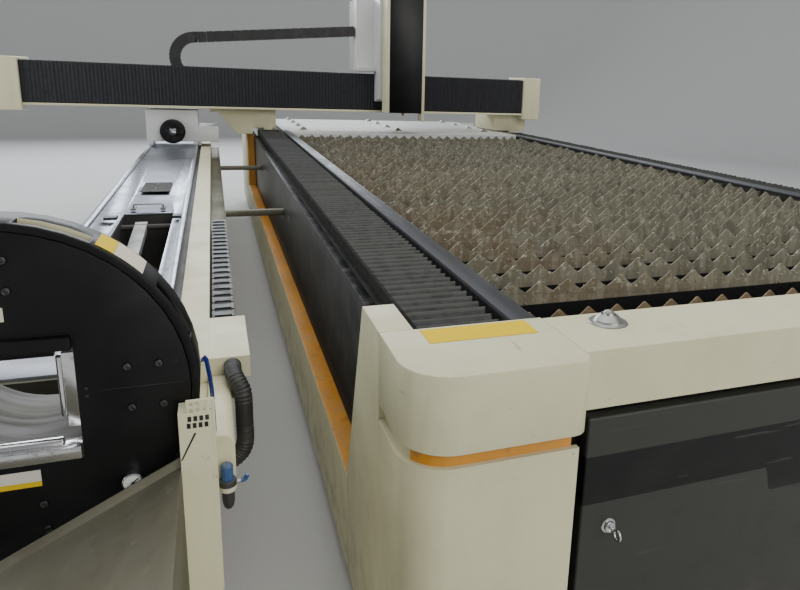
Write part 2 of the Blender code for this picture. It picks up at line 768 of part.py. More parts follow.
def slat_grid():
    """Toothed slats on edge, their ends let into an angle section along each side."""
    bm = bmesh.new()
    left = RACK_INSET
    right = left + RACK_THICKNESS
    ledge_top = SLAT_BOTTOM + RACK_SHELF / 4
    outline = [
        (left, CROSS_TOP + GAP),
        (right, CROSS_TOP + GAP),
        (right, ledge_top - RACK_SHELF),
        (right + RACK_LEDGE, ledge_top - RACK_SHELF),
        (right + RACK_LEDGE, ledge_top),
        (right, ledge_top),
        (right, RACK_TOP),
        (left, RACK_TOP),
    ]
    other = [(BED_WIDTH - x, z) for x, z in outline]
    add_prism(bm, outline, "Y", CAP_BACK + GAP, DECK_START - GAP)
    add_prism(bm, other, "Y", CAP_BACK + GAP, DECK_START - GAP)
    obj = place("slat_grid", bm, SLAT)
    plates = bmesh.new()
    near_end = SLAT_INSET
    far_end = BED_WIDTH - SLAT_INSET
    tenon = RACK_INSET + RACK_THICKNESS / 2
    pitch = (far_end - near_end) / TOOTH_COUNT
    root = BED_TOP - TOOTH_DEPTH
    edge = [(tenon, SLAT_BOTTOM), (BED_WIDTH - tenon, SLAT_BOTTOM), (BED_WIDTH - tenon, root)]
    for i in range(TOOTH_COUNT, 0, -1):
        edge.append((near_end + i * pitch, root))
        edge.append((near_end + (i - 1 / 2) * pitch, BED_TOP))
    edge.append((near_end, root))
    edge.append((tenon, root))
    for i in range(SLAT_COUNT):
        near = SLAT_FRONT + i * SLAT_PITCH
        add_prism(plates, edge, "Y", near, near + SLAT_THICKNESS)
    combine(obj, cutter("slat_plates", plates), "UNION")


def edge_strip(side):
    """Machined steel strip between the bellows and the slats."""
    bm = bmesh.new()
    low = (STRIP_INSET, CAP_BACK + GAP, BED_TOP - STRIP_THICKNESS)
    high = (STRIP_INSET + STRIP_WIDTH, BED_LENGTH - SHELL, BED_TOP)
    add_box(bm, low, high)
    place("edge_strip_" + side, sided(bm, side), STEEL)


def rear_deck():
    """White loading deck behind the slats, a plate with aprons down to the frame and ball units."""
    bm = bmesh.new()
    left = SLAT_INSET
    right = BED_WIDTH - SLAT_INSET
    back = BED_LENGTH - SHELL
    xs = [left, left + DECK_THICKNESS, right - DECK_THICKNESS, right]
    ys = [DECK_START, DECK_START + DECK_THICKNESS, back - DECK_THICKNESS, back]
    zs = [CROSS_TOP + GAP, BED_TOP - DECK_THICKNESS, BED_TOP]

    def solid(i, j, k):
        return k == 1 or i != 1 or j != 1

    add_lattice(bm, xs, ys, zs, solid)
    obj = place("rear_deck", bm, WHITE)
    rows = [BALL_REAR_FIRST + i * BALL_REAR_PITCH for i in range(BALL_REAR_COUNT)]
    ball_units("rear_ball_units", obj, rows)


def fold_outline(start, end, pitch, valley, peak, base):
    """A zigzag edge from start to end above a flat base: the section of a folded bellows."""
    count = max(1, round((end - start) / pitch))
    step = (end - start) / count
    outline = [(start, base), (end, base)]
    for i in range(count, 0, -1):
        outline.append((start + i * step, base + valley))
        outline.append((start + (i - 1 / 2) * step, base + peak))
    outline.append((start, base + valley))
    return outline


def side_bellows(name, left):
    """Folded cover over one guide rail, from the front corner to the gantry leg."""
    bm = bmesh.new()
    start = CAP_BACK + GAP
    base = RAIL_TOP + GAP
    outline = fold_outline(start, LEG_FRONT - GAP, BELLOWS_PITCH, BELLOWS_VALLEY, BELLOWS_PEAK, base)
    add_prism(bm, outline, "X", left, left + BELLOWS_WIDTH)
    place(name, bm, BELLOWS)


def door_edges():
    """The X of each door's free edge and hinge edge, and of both hinge axes."""
    middle = BED_WIDTH / 2
    axis = STILE_WIDTH / 2 - HINGE_FACE
    free = CAP_WIDTH + DOOR_SIDE_GAP
    hinge_edge = middle - axis - HINGE_RADIUS - GAP
    return free, hinge_edge, middle - axis, middle + axis


def door_mesh(left, right):
    bm = bmesh.new()
    add_box(bm, (left, 0, DOOR_BOTTOM), (right, DOOR_THICKNESS, DOOR_TOP))
    return bm


def front_doors():
    """Two doors hinged on the middle stile. The lock side of each is the outer side."""
    free, edge, left_axis, right_axis = door_edges()
    left = place("front_door_left", door_mesh(free, edge), DARK, origin=(left_axis, HINGE_DEPTH, 0))
    bevel(left, DOOR_BEVEL, 1)
    mesh = door_mesh(BED_WIDTH - edge, BED_WIDTH - free)
    right = place("front_door_right", mesh, DARK, origin=(right_axis, HINGE_DEPTH, 0))
    bevel(right, DOOR_BEVEL, 1)


def door_hinges():
    """The middle stile on the frame with two hinge barrels a side."""
    bm = bmesh.new()
    middle = BED_WIDTH / 2
    low = (middle - STILE_WIDTH / 2 + HINGE_FACE, STILE_FACE, DOOR_BOTTOM)
    high = (middle + STILE_WIDTH / 2 - HINGE_FACE, FRAME_FRONT - GAP, DOOR_TOP)
    add_box(bm, low, high)
    _, _, left_axis, right_axis = door_edges()
    obj = place("door_hinges", bm, STEEL)
    barrels = bmesh.new()
    for x in (left_axis, right_axis):
        for share in HINGE_HEIGHT_SHARES:
            bottom = DOOR_BOTTOM + (DOOR_TOP - DOOR_BOTTOM) * share - HINGE_LENGTH / 2
            profile = [(0, 0), (HINGE_RADIUS, 0), (HINGE_RADIUS, HINGE_LENGTH), (0, HINGE_LENGTH)]
            add_lathe(barrels, profile, (x, HINGE_DEPTH, bottom), "Z", 12)
    combine(obj, cutter("hinge_barrels", barrels), "UNION")
    webs = bmesh.new()
    for share in HINGE_HEIGHT_SHARES:
        bottom = DOOR_BOTTOM + (DOOR_TOP - DOOR_BOTTOM) * share - HINGE_LENGTH / 2
        high = (right_axis, 2 * STILE_FACE, bottom + HINGE_LENGTH)
        add_box(webs, (left_axis, WEB_FACE, bottom), high)
    combine(obj, cutter("hinge_webs", webs), "UNION")


def door_lock():
    """Round lock barrel on the left door, and the key that stands in it."""
    x = CAP_WIDTH + DOOR_SIDE_GAP + LOCK_INSET
    bm = bmesh.new()
    profile = [
        (0, -GAP),
        (LOCK_RADIUS, -GAP),
        (LOCK_RADIUS, -LOCK_PROUD / 2),
        (LOCK_RADIUS * 3 / 4, -LOCK_PROUD),
        (0, -LOCK_PROUD),
    ]
    add_lathe(bm, profile, (x, 0, LOCK_HEIGHT), "Y", 14)
    place("door_lock", bm, CHROME, origin=(x, 0, LOCK_HEIGHT), smooth=30)
    key = bmesh.new()
    bow_y = -LOCK_PROUD - KEY_SHANK - KEY_RADIUS * 2 / 3
    half = KEY_THICKNESS / 2
    ring = [
        (KEY_HOLE, -half), (KEY_RADIUS, -half), (KEY_RADIUS, half), (KEY_HOLE, half),
    ]
    add_lathe(key, ring, (x, bow_y, LOCK_HEIGHT), "X", 14)
    obj = place("lock_key", key, CHROME, origin=(x, 0, LOCK_HEIGHT), smooth=30)
    shank = bmesh.new()
    low = (x - half, bow_y + KEY_HOLE + GAP, LOCK_HEIGHT - KEY_SHANK_WIDTH / 2)
    high = (x + half, -LOCK_PROUD - GAP, LOCK_HEIGHT + KEY_SHANK_WIDTH / 2)
    add_box(shank, low, high)
    combine(obj, cutter("key_shank", shank), "UNION")


def gantry_beam():
    """The cross beam: a box with a tall front wall that carries two rails for the head."""
    bm = bmesh.new()
    outline = [
        (BEAM_FRONT, BEAM_BOTTOM),
        (BEAM_BACK, BEAM_BOTTOM),
        (BEAM_BACK, BEAM_DECK),
        (BEAM_FRONT + BEAM_WALL, BEAM_DECK),
        (BEAM_FRONT + BEAM_WALL, BEAM_TOP),
    ]
    edge = [(BEAM_FRONT, BEAM_TOP)]
    for height in reversed(BEAM_RAIL_HEIGHTS):
        for z in (height + BEAM_RAIL_WIDTH / 2, height - BEAM_RAIL_WIDTH / 2):
            points = [(BEAM_FRONT, z), (BEAM_FRONT - BEAM_RAIL_DEPTH, z)]
            edge += points if z > height else reversed(points)
    add_prism(bm, outline + edge, "X", BEAM_LEFT, BEAM_RIGHT)
    place("gantry_beam", bm, FRAME, origin=(BEAM_LEFT, BEAM_FRONT, BEAM_BOTTOM))


def beam_cover():
    """Folded cream cover: a lip under the beam and a wall up its back."""
    bm = bmesh.new()
    back = BEAM_BACK + GAP
    outline = [
        (GANTRY_FACE, BEAM_BOTTOM - GAP - COVER_LIP),
        (back + COVER_WALL, BEAM_BOTTOM - GAP - COVER_LIP),
        (back + COVER_WALL, BEAM_TOP),
        (back, BEAM_TOP),
        (back, BEAM_BOTTOM - GAP),
        (GANTRY_FACE, BEAM_BOTTOM - GAP),
    ]
    add_prism(bm, outline, "X", BEAM_LEFT, BEAM_RIGHT)
    place("beam_cover", bm, CREAM)


def beam_cap(name, start, end):
    """Cream end cap of the beam. Its front hangs a little lower."""
    bm = bmesh.new()
    bottom = BEAM_BOTTOM - GAP - COVER_LIP
    front = GANTRY_FACE - END_CAP_REACH
    back = BEAM_BACK + GAP + COVER_WALL
    outline = [
        (front, bottom - END_CAP_DROP),
        (front + END_CAP_NOSE, bottom - END_CAP_DROP),
        (front + END_CAP_NOSE, bottom),
        (back, bottom),
        (back, END_CAP_TOP),
        (front, END_CAP_TOP),
    ]
    add_prism(bm, outline, "X", start, end)
    bevel(place(name, bm, CREAM), 2 * DOOR_BEVEL, 1)


def beam_bellows(name, start, end):
    """Folded cover over the rails on one side of the carriage."""
    bm = bmesh.new()
    base = -(GANTRY_FACE + BEAM_BELLOWS_DEPTH)
    folds = fold_outline(
        start, end, BEAM_BELLOWS_PITCH, BEAM_BELLOWS_DEPTH - BEAM_BELLOWS_FOLD, BEAM_BELLOWS_DEPTH, base
    )
    plan = [(x, -y) for x, y in folds]
    add_prism(bm, plan, "Z", BEAM_BOTTOM + GAP, BEAM_TOP)
    place(name, bm, BELLOWS)


def gantry_legs():
    """The two feet of the gantry: each rides its guide rail on a block under the foot."""
    low = LEG_UNDERSIDE
    rail = RAIL_TOP + GAP
    middle = RAIL_INSET + RAIL_WIDTH / 2
    left = [
        (-LEG_OUTER_TOP, LEG_TOP),
        (-LEG_OUTER_TOP, LEG_TOP - LEG_LIP),
        (-LEG_OUTER_HIGH, LEG_TOP - LEG_LIP),
        (-LEG_OUTER_LOW, low - LEG_SIDE_DROP),
        (LEG_STEP, low - LEG_SIDE_DROP),
        (LEG_STEP, low),
        (middle - BLOCK_WIDTH / 2, low),
        (middle - BLOCK_WIDTH / 2, rail),
        (middle + BLOCK_WIDTH / 2, rail),
        (middle + BLOCK_WIDTH / 2, low),
        (LEG_INNER, low),
        (LEG_INNER, LEG_TOP),
    ]
    right_middle = BED_WIDTH - middle
    right = [
        (BED_WIDTH - RIGHT_LEG_INNER, LEG_TOP),
        (BED_WIDTH - RIGHT_LEG_INNER, low),
        (right_middle - BLOCK_WIDTH / 2, low),
        (right_middle - BLOCK_WIDTH / 2, rail),
        (right_middle + BLOCK_WIDTH / 2, rail),
        (right_middle + BLOCK_WIDTH / 2, low),
        (BED_WIDTH - RIGHT_LEG_OUTER, low),
        (BED_WIDTH - RIGHT_LEG_OUTER, LEG_TOP),
    ]
    for name, outline in (("gantry_leg_left", left), ("gantry_leg_right", right)):
        bm = bmesh.new()
        add_prism(bm, outline, "Y", LEG_FRONT, LEG_FRONT + LEG_LENGTH)
        place(name, bm, CREAM)


def head_carriage():
    """Saddle on the beam rails, bridged over the beam to the mast that holds the cable chain."""
    bm = bmesh.new()
    bridge = BEAM_TOP + CARRIAGE_BRIDGE / 2
    xs = [MAST_LEFT, CARRIAGE_LEFT, CARRIAGE_RIGHT]
    ys = [
        COLUMN_FACE + COLUMN_DEPTH + GAP,
        CARRIAGE_FACE,
        GANTRY_FACE + BEAM_BELLOWS_DEPTH,
        CHAIN_FACE + CHAIN_WIDTH + GAP,
        MAST_BACK,
    ]
    zs = [CARRIAGE_BOTTOM - SADDLE_DROP, CARRIAGE_BOTTOM, bridge, bridge + CARRIAGE_BRIDGE, CARRIAGE_TOP]

    def solid(i, j, k):
        link = i == 1 and j == 0 and k >= 1
        saddle = i == 1 and j == 1
        over = j in (1, 2, 3) and k == 2
        mast = j == 3 and k >= 2
        chain_bracket = j == 2 and k == 3
        return link or saddle or over or mast or chain_bracket

    add_lattice(bm, xs, ys, zs, solid)
    place("head_carriage", bm, WHITE, origin=(CARRIAGE_LEFT, CARRIAGE_FACE, CARRIAGE_BOTTOM))


def column_cover():
    """Tall cream cover of the vertical slide, open at the back and underneath."""
    bm = bmesh.new()
    left = COLUMN_LEFT
    right = COLUMN_LEFT + COLUMN_WIDTH
    back = COLUMN_FACE + COLUMN_DEPTH
    xs = [left, left + SHELL, right - SHELL, right]
    ys = [COLUMN_FACE + COLUMN_PANEL + GAP, COLUMN_FACE + COLUMN_PANEL + GAP + SHELL, back]
    zs = [COLUMN_BOTTOM - COLUMN_SIDE_DROP, COLUMN_BOTTOM, COLUMN_TOP - SHELL, COLUMN_TOP]

    def solid(i, j, k):
        side = i != 1 and (k > 0 or i == 2)
        front = j == 0 and k > 0
        top = k == 2
        return side or front or top

    add_lattice(bm, xs, ys, zs, solid)
    obj = place("column_cover", bm, CREAM)
    edges = bmesh.new()
    for x in (left, right - SHELL * 2):
        bottom = COLUMN_BOTTOM - (COLUMN_SIDE_DROP if x > left else 0)
        add_box(edges, (x, COLUMN_FACE, bottom), (x + SHELL * 2, COLUMN_FACE + SHELL + GAP, COLUMN_TOP))
    combine(obj, cutter("column_edges", edges), "UNION")
    panel = bmesh.new()
    low = (left + SHELL * 2 + GAP, COLUMN_FACE, COLUMN_BOTTOM)
    high = (right - SHELL * 2 - GAP, COLUMN_FACE + COLUMN_PANEL, COLUMN_TOP)
    add_box(panel, low, high)
    place("column_front", panel, BLACK)


def laser_head():
    """Slide block with the round cutting head and its cone."""
    x = COLUMN_LEFT + COLUMN_WIDTH / 2
    back = COLUMN_FACE + COLUMN_DEPTH
    y = back - HEAD_RADIUS - HEAD_STEP
    bm = bmesh.new()
    profile = [
        (0, HEAD_TOP),
        (HEAD_RADIUS, HEAD_TOP),
        (HEAD_RADIUS, HEAD_BOTTOM),
        (HEAD_RADIUS - HEAD_STEP / 3, HEAD_BOTTOM - HEAD_STEP),
        (HEAD_STEP, HEAD_BOTTOM - 2 * HEAD_STEP),
        (NOZZLE_RADIUS, NOZZLE_TIP),
        (0, NOZZLE_TIP),
    ]
    add_lathe(bm, profile, (x, y, 0), "Z", 20)
    obj = place("laser_head", bm, STEEL, origin=(x, y, NOZZLE_TIP), smooth=30)
    block = bmesh.new()
    low = (x - HEAD_BLOCK / 2, y, HEAD_BOTTOM + HEAD_STEP * 2)
    high = (x + HEAD_BLOCK / 2, back, HEAD_TOP - HEAD_STEP)
    add_box(block, low, high)
    combine(obj, cutter("head_block", block), "UNION")


def chain_band(path, height):
    """Outline of a link chain along a path of link joints, notched on both sides at each joint."""
    normals = []
    for i, here in enumerate(path):
        before = path[max(i - 1, 0)]
        after = path[min(i + 1, len(path) - 1)]
        along = Vector((after[0] - before[0], after[1] - before[1])).normalized()
        normals.append(Vector((-along[1], along[0])))
    sides = []
    for sign in (1, -1):
        edge = []
        for i, (here, normal) in enumerate(zip(path, normals)):
            here = Vector(here)
            along = Vector((normal[1], -normal[0]))
            full = here + normal * sign * height / 2
            if i in (0, len(path) - 1):
                edge.append(full)
                continue
            edge.append(full - along * CHAIN_NOTCH)
            edge.append(here + normal * sign * (height / 2 - CHAIN_NOTCH))
            edge.append(full + along * CHAIN_NOTCH)
        sides.append([tuple(point) for point in edge])
    return sides[0] + list(reversed(sides[1]))


def chain_run(name, start, end, height, rise):
    """A straight run of the head's cable chain between two places along the beam."""
    count = round((end - start) / CHAIN_LINK)
    path = [(start + (end - start) * i / count, height + rise * i / count) for i in range(count + 1)]
    bm = bmesh.new()
    add_prism(bm, chain_band(path, CHAIN_HEIGHT), "Y", CHAIN_FACE, CHAIN_FACE + CHAIN_WIDTH)
    place(name, bm, PLASTIC)


def head_chain():
    """Cable chain of the head: a run in the beam, a bend at its left end and a run back to the mast."""
    middle = CHAIN_TOP - CHAIN_RADIUS
    run_radius = CHAIN_RADIUS - CHAIN_HEIGHT / 2
    top = middle + run_radius
    bottom = middle - run_radius
    lead = CHAIN_BEND_X + 2 * CHAIN_NOTCH
    bend = arc((CHAIN_BEND_X, middle), run_radius, 90, 262, round(math.pi * run_radius / CHAIN_LINK))
    path = [(lead, top)] + bend + [(lead + 2 * CHAIN_NOTCH, bottom)]
    bm = bmesh.new()
    add_prism(bm, chain_band(path, CHAIN_HEIGHT), "Y", CHAIN_FACE, CHAIN_FACE + CHAIN_WIDTH)
    place("head_chain_bend", bm, PLASTIC, origin=(CHAIN_BEND_X, CHAIN_FACE, middle))
    tilt = CHAIN_HEIGHT / 2 * CHAIN_RISE / (MAST_LEFT - lead)
    chain_run("head_chain_upper", lead + GAP + tilt, MAST_LEFT - GAP - tilt, top, CHAIN_RISE)
    chain_run("head_chain_lower", lead + 4 * CHAIN_NOTCH, CHAIN_FIXED_END, bottom, 0)


def tube_bed():
    """Long welded box of the tube unit, with the open pocket for the lifting arm."""
    bm = bmesh.new()
    xs = [TUBE_LEFT, TUBE_AXIS_X - POCKET_LEFT, TUBE_AXIS_X + POCKET_RIGHT, TUBE_RIGHT]
    ys = [TUBE_FRONT, POCKET_FRONT, POCKET_BACK, TUBE_END]
    zs = [FRAME_BOTTOM, POCKET_FLOOR, TUBE_TOP]

    def solid(i, j, k):
        return not (i == 1 and j == 1 and k == 1)

    add_lattice(bm, xs, ys, zs, solid)
    obj = place("tube_bed", bm, FRAME)
    pin = bmesh.new()
    reach = SHELL
    left = TUBE_AXIS_X - POCKET_LEFT - reach
    length = POCKET_LEFT + POCKET_RIGHT + 2 * reach
    profile = [(0, 0), (PIVOT_RADIUS, 0), (PIVOT_RADIUS, length), (0, length)]
    add_lathe(pin, profile, (left, ARM_PIVOT_Y, ARM_PIVOT_Z), "X", 12)
    combine(obj, cutter("arm_pin", pin), "UNION")
    feet = bmesh.new()
    for x in (TUBE_LEFT + FOOT_RADIUS, TUBE_RIGHT - FOOT_RADIUS):
        for y in spread(TUBE_FRONT + FOOT_MARGIN, TUBE_END - FOOT_MARGIN, TUBE_FEET_COUNT):
            add_lathe(feet, foot_profile(), (x, y, 0), "Z", 8)
    combine(obj, cutter("tube_bed_feet", feet), "UNION")


def tube_top_plate():
    """Machined plate with its two rails, open over one pocket and with a lid on the other."""
    bm = bmesh.new()
    edge = TUBE_RAIL_OFFSET
    xs = [TUBE_AXIS_X - edge, TUBE_AXIS_X - POCKET_LEFT, TUBE_AXIS_X + POCKET_RIGHT, TUBE_AXIS_X + edge]
    ys = [TUBE_FRONT, POCKET_FRONT, POCKET_BACK, TUBE_END]
    zs = [TUBE_TOP + GAP, TUBE_PLATE_TOP]

    def solid(i, j, k):
        return not (i == 1 and j == 1)

    add_lattice(bm, xs, ys, zs, solid)
    obj = place("tube_top_plate", bm, STEEL)
    extras = bmesh.new()
    left = TUBE_AXIS_X - POCKET_LEFT
    low = (left, LID_FRONT, TUBE_PLATE_TOP - LID_HEIGHT)
    add_box(extras, low, (left + LID_WIDTH, LID_BACK, TUBE_PLATE_TOP + LID_HEIGHT))
    for side in (-1, 1):
        middle = TUBE_AXIS_X + side * TUBE_RAIL_OFFSET
        low = (middle - TUBE_RAIL_WIDTH / 2, TUBE_FRONT - GAP, TUBE_TOP + GAP)
        high = (middle + TUBE_RAIL_WIDTH / 2, TUBE_END, TUBE_TOP + GAP + TUBE_RAIL_HEIGHT)
        add_box(extras, low, high)
    combine(obj, cutter("tube_rails_and_lid", extras), "UNION")


def tube_side_cover():
    """Cream cover along the right of the tube bed, with the box where the cable chain's hoses meet."""
    bm = bmesh.new()
    outline = [
        (COVER_LEFT, TUBE_COVER_BOTTOM),
        (COVER_RIGHT, TUBE_COVER_BOTTOM),
        (COVER_RIGHT, TUBE_PLATE_TOP),
        (COVER_LEFT, TUBE_PLATE_TOP),
    ]
    add_prism(bm, outline, "Y", TUBE_FRONT, TUBE_END)
    obj = place("tube_side_cover", bm, CREAM)
    box = bmesh.new()
    high = (COVER_RIGHT + GAP + BOX_WIDTH, BOX_BACK, BOX_TOP)
    add_box(box, (COVER_RIGHT - SHELL, BOX_FRONT, BOX_BOTTOM), high)
    combine(obj, cutter("cable_box", box), "UNION")
    bevel(obj, DOOR_BEVEL / 2, 1)


def support_arm():
    """Arm that lifts the tube, bored for its pin at the far end."""
    bm = bmesh.new()
    middle = TUBE_AXIS_X + (POCKET_RIGHT - POCKET_LEFT) / 2 + ARM_OFFSET
    half = ARM_HEIGHT / 2
    outline = [
        (ARM_TIP, ARM_PIVOT_Z - ARM_TIP_DROP - half),
        (ARM_PIVOT_Y + ARM_TAIL, ARM_PIVOT_Z - half),
        (ARM_PIVOT_Y + ARM_TAIL, ARM_PIVOT_Z + half),
        (ARM_TIP, ARM_PIVOT_Z - ARM_TIP_DROP + half),
    ]
    add_prism(bm, outline, "X", middle - ARM_WIDTH / 2, middle + ARM_WIDTH / 2)
    obj = place("support_arm", bm, GALVANISED, origin=(middle, ARM_PIVOT_Y, ARM_PIVOT_Z))
    bore = bmesh.new()
    radius = PIVOT_RADIUS + PIVOT_CLEARANCE
    length = ARM_WIDTH + 2 * CUT_OVERRUN
    start = middle - length / 2
    profile = [(0, 0), (radius, 0), (radius, length), (0, length)]
    add_lathe(bore, profile, (start, ARM_PIVOT_Y, ARM_PIVOT_Z), "X", 12)
    combine(obj, cutter("arm_bore", bore), "DIFFERENCE")


def chuck_pedestal():
    """Floor box that carries the front chuck's bearing sleeve."""
    bm = bmesh.new()
    low = (TUBE_LEFT, PEDESTAL_FRONT, 0)
    high = (SERVICE_LEFT - GAP, PEDESTAL_BACK, TUBE_AXIS_Z - SLEEVE_RADIUS - GAP)
    add_box(bm, low, high)
    obj = place("chuck_pedestal", bm, CREAM)
    bevel(obj, DOOR_BEVEL, 1)


def chuck_housing():
    """Fixed black band with a back wall and a bearing sleeve, slotted round its rim."""
    bm = bmesh.new()
    inner = CHUCK_RADIUS - HOUSING_WALL
    back = CHUCK_FACE_Y + CHUCK_DEPTH
    sleeve = SLEEVE_RADIUS - SLEEVE_WALL
    profile = [
        (CHUCK_RADIUS, CHUCK_FACE_Y),
        (CHUCK_RADIUS, back),
        (SLEEVE_RADIUS, back),
        (SLEEVE_RADIUS, SLEEVE_BACK),
        (sleeve, SLEEVE_BACK),
        (sleeve, back - HOUSING_WALL),
        (inner, back - HOUSING_WALL),
        (inner, CHUCK_FACE_Y),
    ]
    add_lathe(bm, profile, (TUBE_AXIS_X, 0, TUBE_AXIS_Z), "Y", 48)
    obj = place("chuck_housing", bm, BLACK, smooth=30)
    slots = bmesh.new()
    near = CHUCK_FACE_Y + RIM_SLOT_SETBACK
    for i in range(RIM_SLOT_COUNT):
        start = RIM_SLOT_START + i * 360 / RIM_SLOT_COUNT
        centre = (TUBE_AXIS_X, TUBE_AXIS_Z)
        outer = arc(centre, CHUCK_RADIUS + CUT_OVERRUN, start, start + RIM_SLOT_ANGLE, 3)
        inside = arc(centre, inner - HOUSING_WALL, start, start + RIM_SLOT_ANGLE, 3)
        add_prism(slots, sheet_outline(outer, inside), "Y", near, near + RIM_SLOT_WIDTH)
    combine(obj, cutter("rim_slots", slots), "DIFFERENCE")


def chuck_face():
    """Turning face of the front chuck: a disc on a hub with a square window for the tube."""
    bm = bmesh.new()
    radius = CHUCK_RADIUS - HOUSING_WALL - FACE_CLEARANCE
    hub = SLEEVE_RADIUS - SLEEVE_WALL - GAP
    back = CHUCK_FACE_Y + FACE_THICKNESS
    profile = [
        (0, CHUCK_FACE_Y),
        (radius, CHUCK_FACE_Y),
        (radius, back),
        (hub, back),
        (hub, HUB_BACK),
        (hub - HUB_WALL, HUB_BACK),
        (hub - HUB_WALL, back),
        (0, back),
    ]
    add_lathe(bm, profile, (TUBE_AXIS_X, 0, TUBE_AXIS_Z), "Y", 48)
    obj = place("chuck_face", bm, BLACK, origin=(TUBE_AXIS_X, CHUCK_FACE_Y, TUBE_AXIS_Z), smooth=30)
    window = bmesh.new()
    low = (TUBE_AXIS_X - WINDOW_HALF, CHUCK_FACE_Y - CUT_OVERRUN, TUBE_AXIS_Z - WINDOW_HALF)
    high = (TUBE_AXIS_X + WINDOW_HALF, back + CUT_OVERRUN, TUBE_AXIS_Z + WINDOW_HALF)
    add_box(window, low, high)
    combine(obj, cutter("chuck_window", window), "DIFFERENCE")


def jaw(name, turn, near, half, depth, reach):
    """One jaw: a block with a hard roller in front of it, turned about the tube axis."""
    bm = bmesh.new()
    low = (-half, near, JAW_REST)
    high = (half, near + depth, JAW_REST + reach)
    add_box(bm, low, high)
    placing = Matrix.Translation((TUBE_AXIS_X, 0, TUBE_AXIS_Z)) @ Matrix.Rotation(turn, 4, "Y")
    bmesh.ops.transform(bm, matrix=placing, verts=bm.verts)
    obj = place(name, bm, CHROME, origin=(TUBE_AXIS_X, near, TUBE_AXIS_Z), smooth=30)
    roller = bmesh.new()
    length = min(ROLLER_HALF, half - SHELL)
    profile = [(0, -length), (ROLLER_RADIUS, -length), (ROLLER_RADIUS, length), (0, length)]
    add_lathe(roller, profile, (0, near + depth / 2, JAW_REST - ROLLER_OFFSET), "X", 10)
    bmesh.ops.transform(roller, matrix=placing, verts=roller.verts)
    combine(obj, cutter(name + "_roller", roller), "UNION")


def chuck_jaws():
    """Four jaws: top and bottom in the window, left and right just behind the face."""
    near = CHUCK_FACE_Y - JAW_FACE
    half = WINDOW_HALF - GAP
    jaw("jaw_top", 0, near, half, JAW_DEPTH - JAW_FACE, JAW_THICKNESS)
    jaw("jaw_bottom", math.pi, near, half, JAW_DEPTH - JAW_FACE, JAW_THICKNESS)
    behind = CHUCK_FACE_Y + FACE_THICKNESS + GAP
    reach = JAW_SIDE_REACH - JAW_REST
    jaw("jaw_right", math.pi / 2, behind, JAW_SIDE_HALF, JAW_DEPTH, reach)
    jaw("jaw_left", -math.pi / 2, behind, JAW_SIDE_HALF, JAW_DEPTH, reach)


def pressure_gauge():
    """Round gauge on the chuck face, with a recessed dial."""
    bm = bmesh.new()
    back = CHUCK_FACE_Y - GAP
    front = back - GAUGE_DEPTH
    rim = GAUGE_RADIUS / 8
    profile = [
        (0, back),
        (GAUGE_RADIUS, back),
        (GAUGE_RADIUS, front),
        (GAUGE_RADIUS - rim, front),
        (GAUGE_RADIUS - rim, front + rim),
        (0, front + rim),
    ]
    x = TUBE_AXIS_X + GAUGE_OFFSET_X
    z = TUBE_AXIS_Z - GAUGE_OFFSET_Z
    add_lathe(bm, profile, (x, 0, z), "Y", 20)
    place("pressure_gauge", bm, CHROME, origin=(x, back, z), smooth=30)


def feed_carriage():
    """Carriage of the feeding chuck: a stepped body on feet that ride the tube rails."""
    bm = bmesh.new()
    rail_left = TUBE_AXIS_X - TUBE_RAIL_OFFSET
    rail_right = TUBE_AXIS_X + TUBE_RAIL_OFFSET
    foot = TUBE_RAIL_WIDTH
    left = TUBE_AXIS_X - FEED_HALF_WIDTH
    right = TUBE_AXIS_X + FEED_HALF_WIDTH
    xs = [left, rail_left - foot / 2, rail_left + foot, rail_right - foot, rail_right + foot / 2]
    xs += [right, right + FEED_STEP_WIDTH]
    ys = [FEED_FACE, FEED_FACE + FEED_LENGTH]
    zs = [TUBE_TOP + 2 * GAP + TUBE_RAIL_HEIGHT, FEED_UNDERSIDE, FEED_STEP_TOP, FEED_TOP]

    def solid(i, j, k):
        foot_cell = k == 0 and i in (1, 3)
        body = k >= 1 and i <= 4
        step = k == 1 and i == 5
        return foot_cell or body or step

    add_lattice(bm, xs, ys, zs, solid)
    obj = place("feed_carriage", bm, WHITE, origin=(TUBE_AXIS_X, FEED_FACE, FEED_UNDERSIDE))
    bore = bmesh.new()
    length = FEED_LENGTH + 2 * CUT_OVERRUN
    profile = [(0, 0), (FEED_BORE, 0), (FEED_BORE, length), (0, length)]
    add_lathe(bore, profile, (TUBE_AXIS_X, FEED_FACE - CUT_OVERRUN, TUBE_AXIS_Z), "Y", 20)
    combine(obj, cutter("feed_bore", bore), "DIFFERENCE")


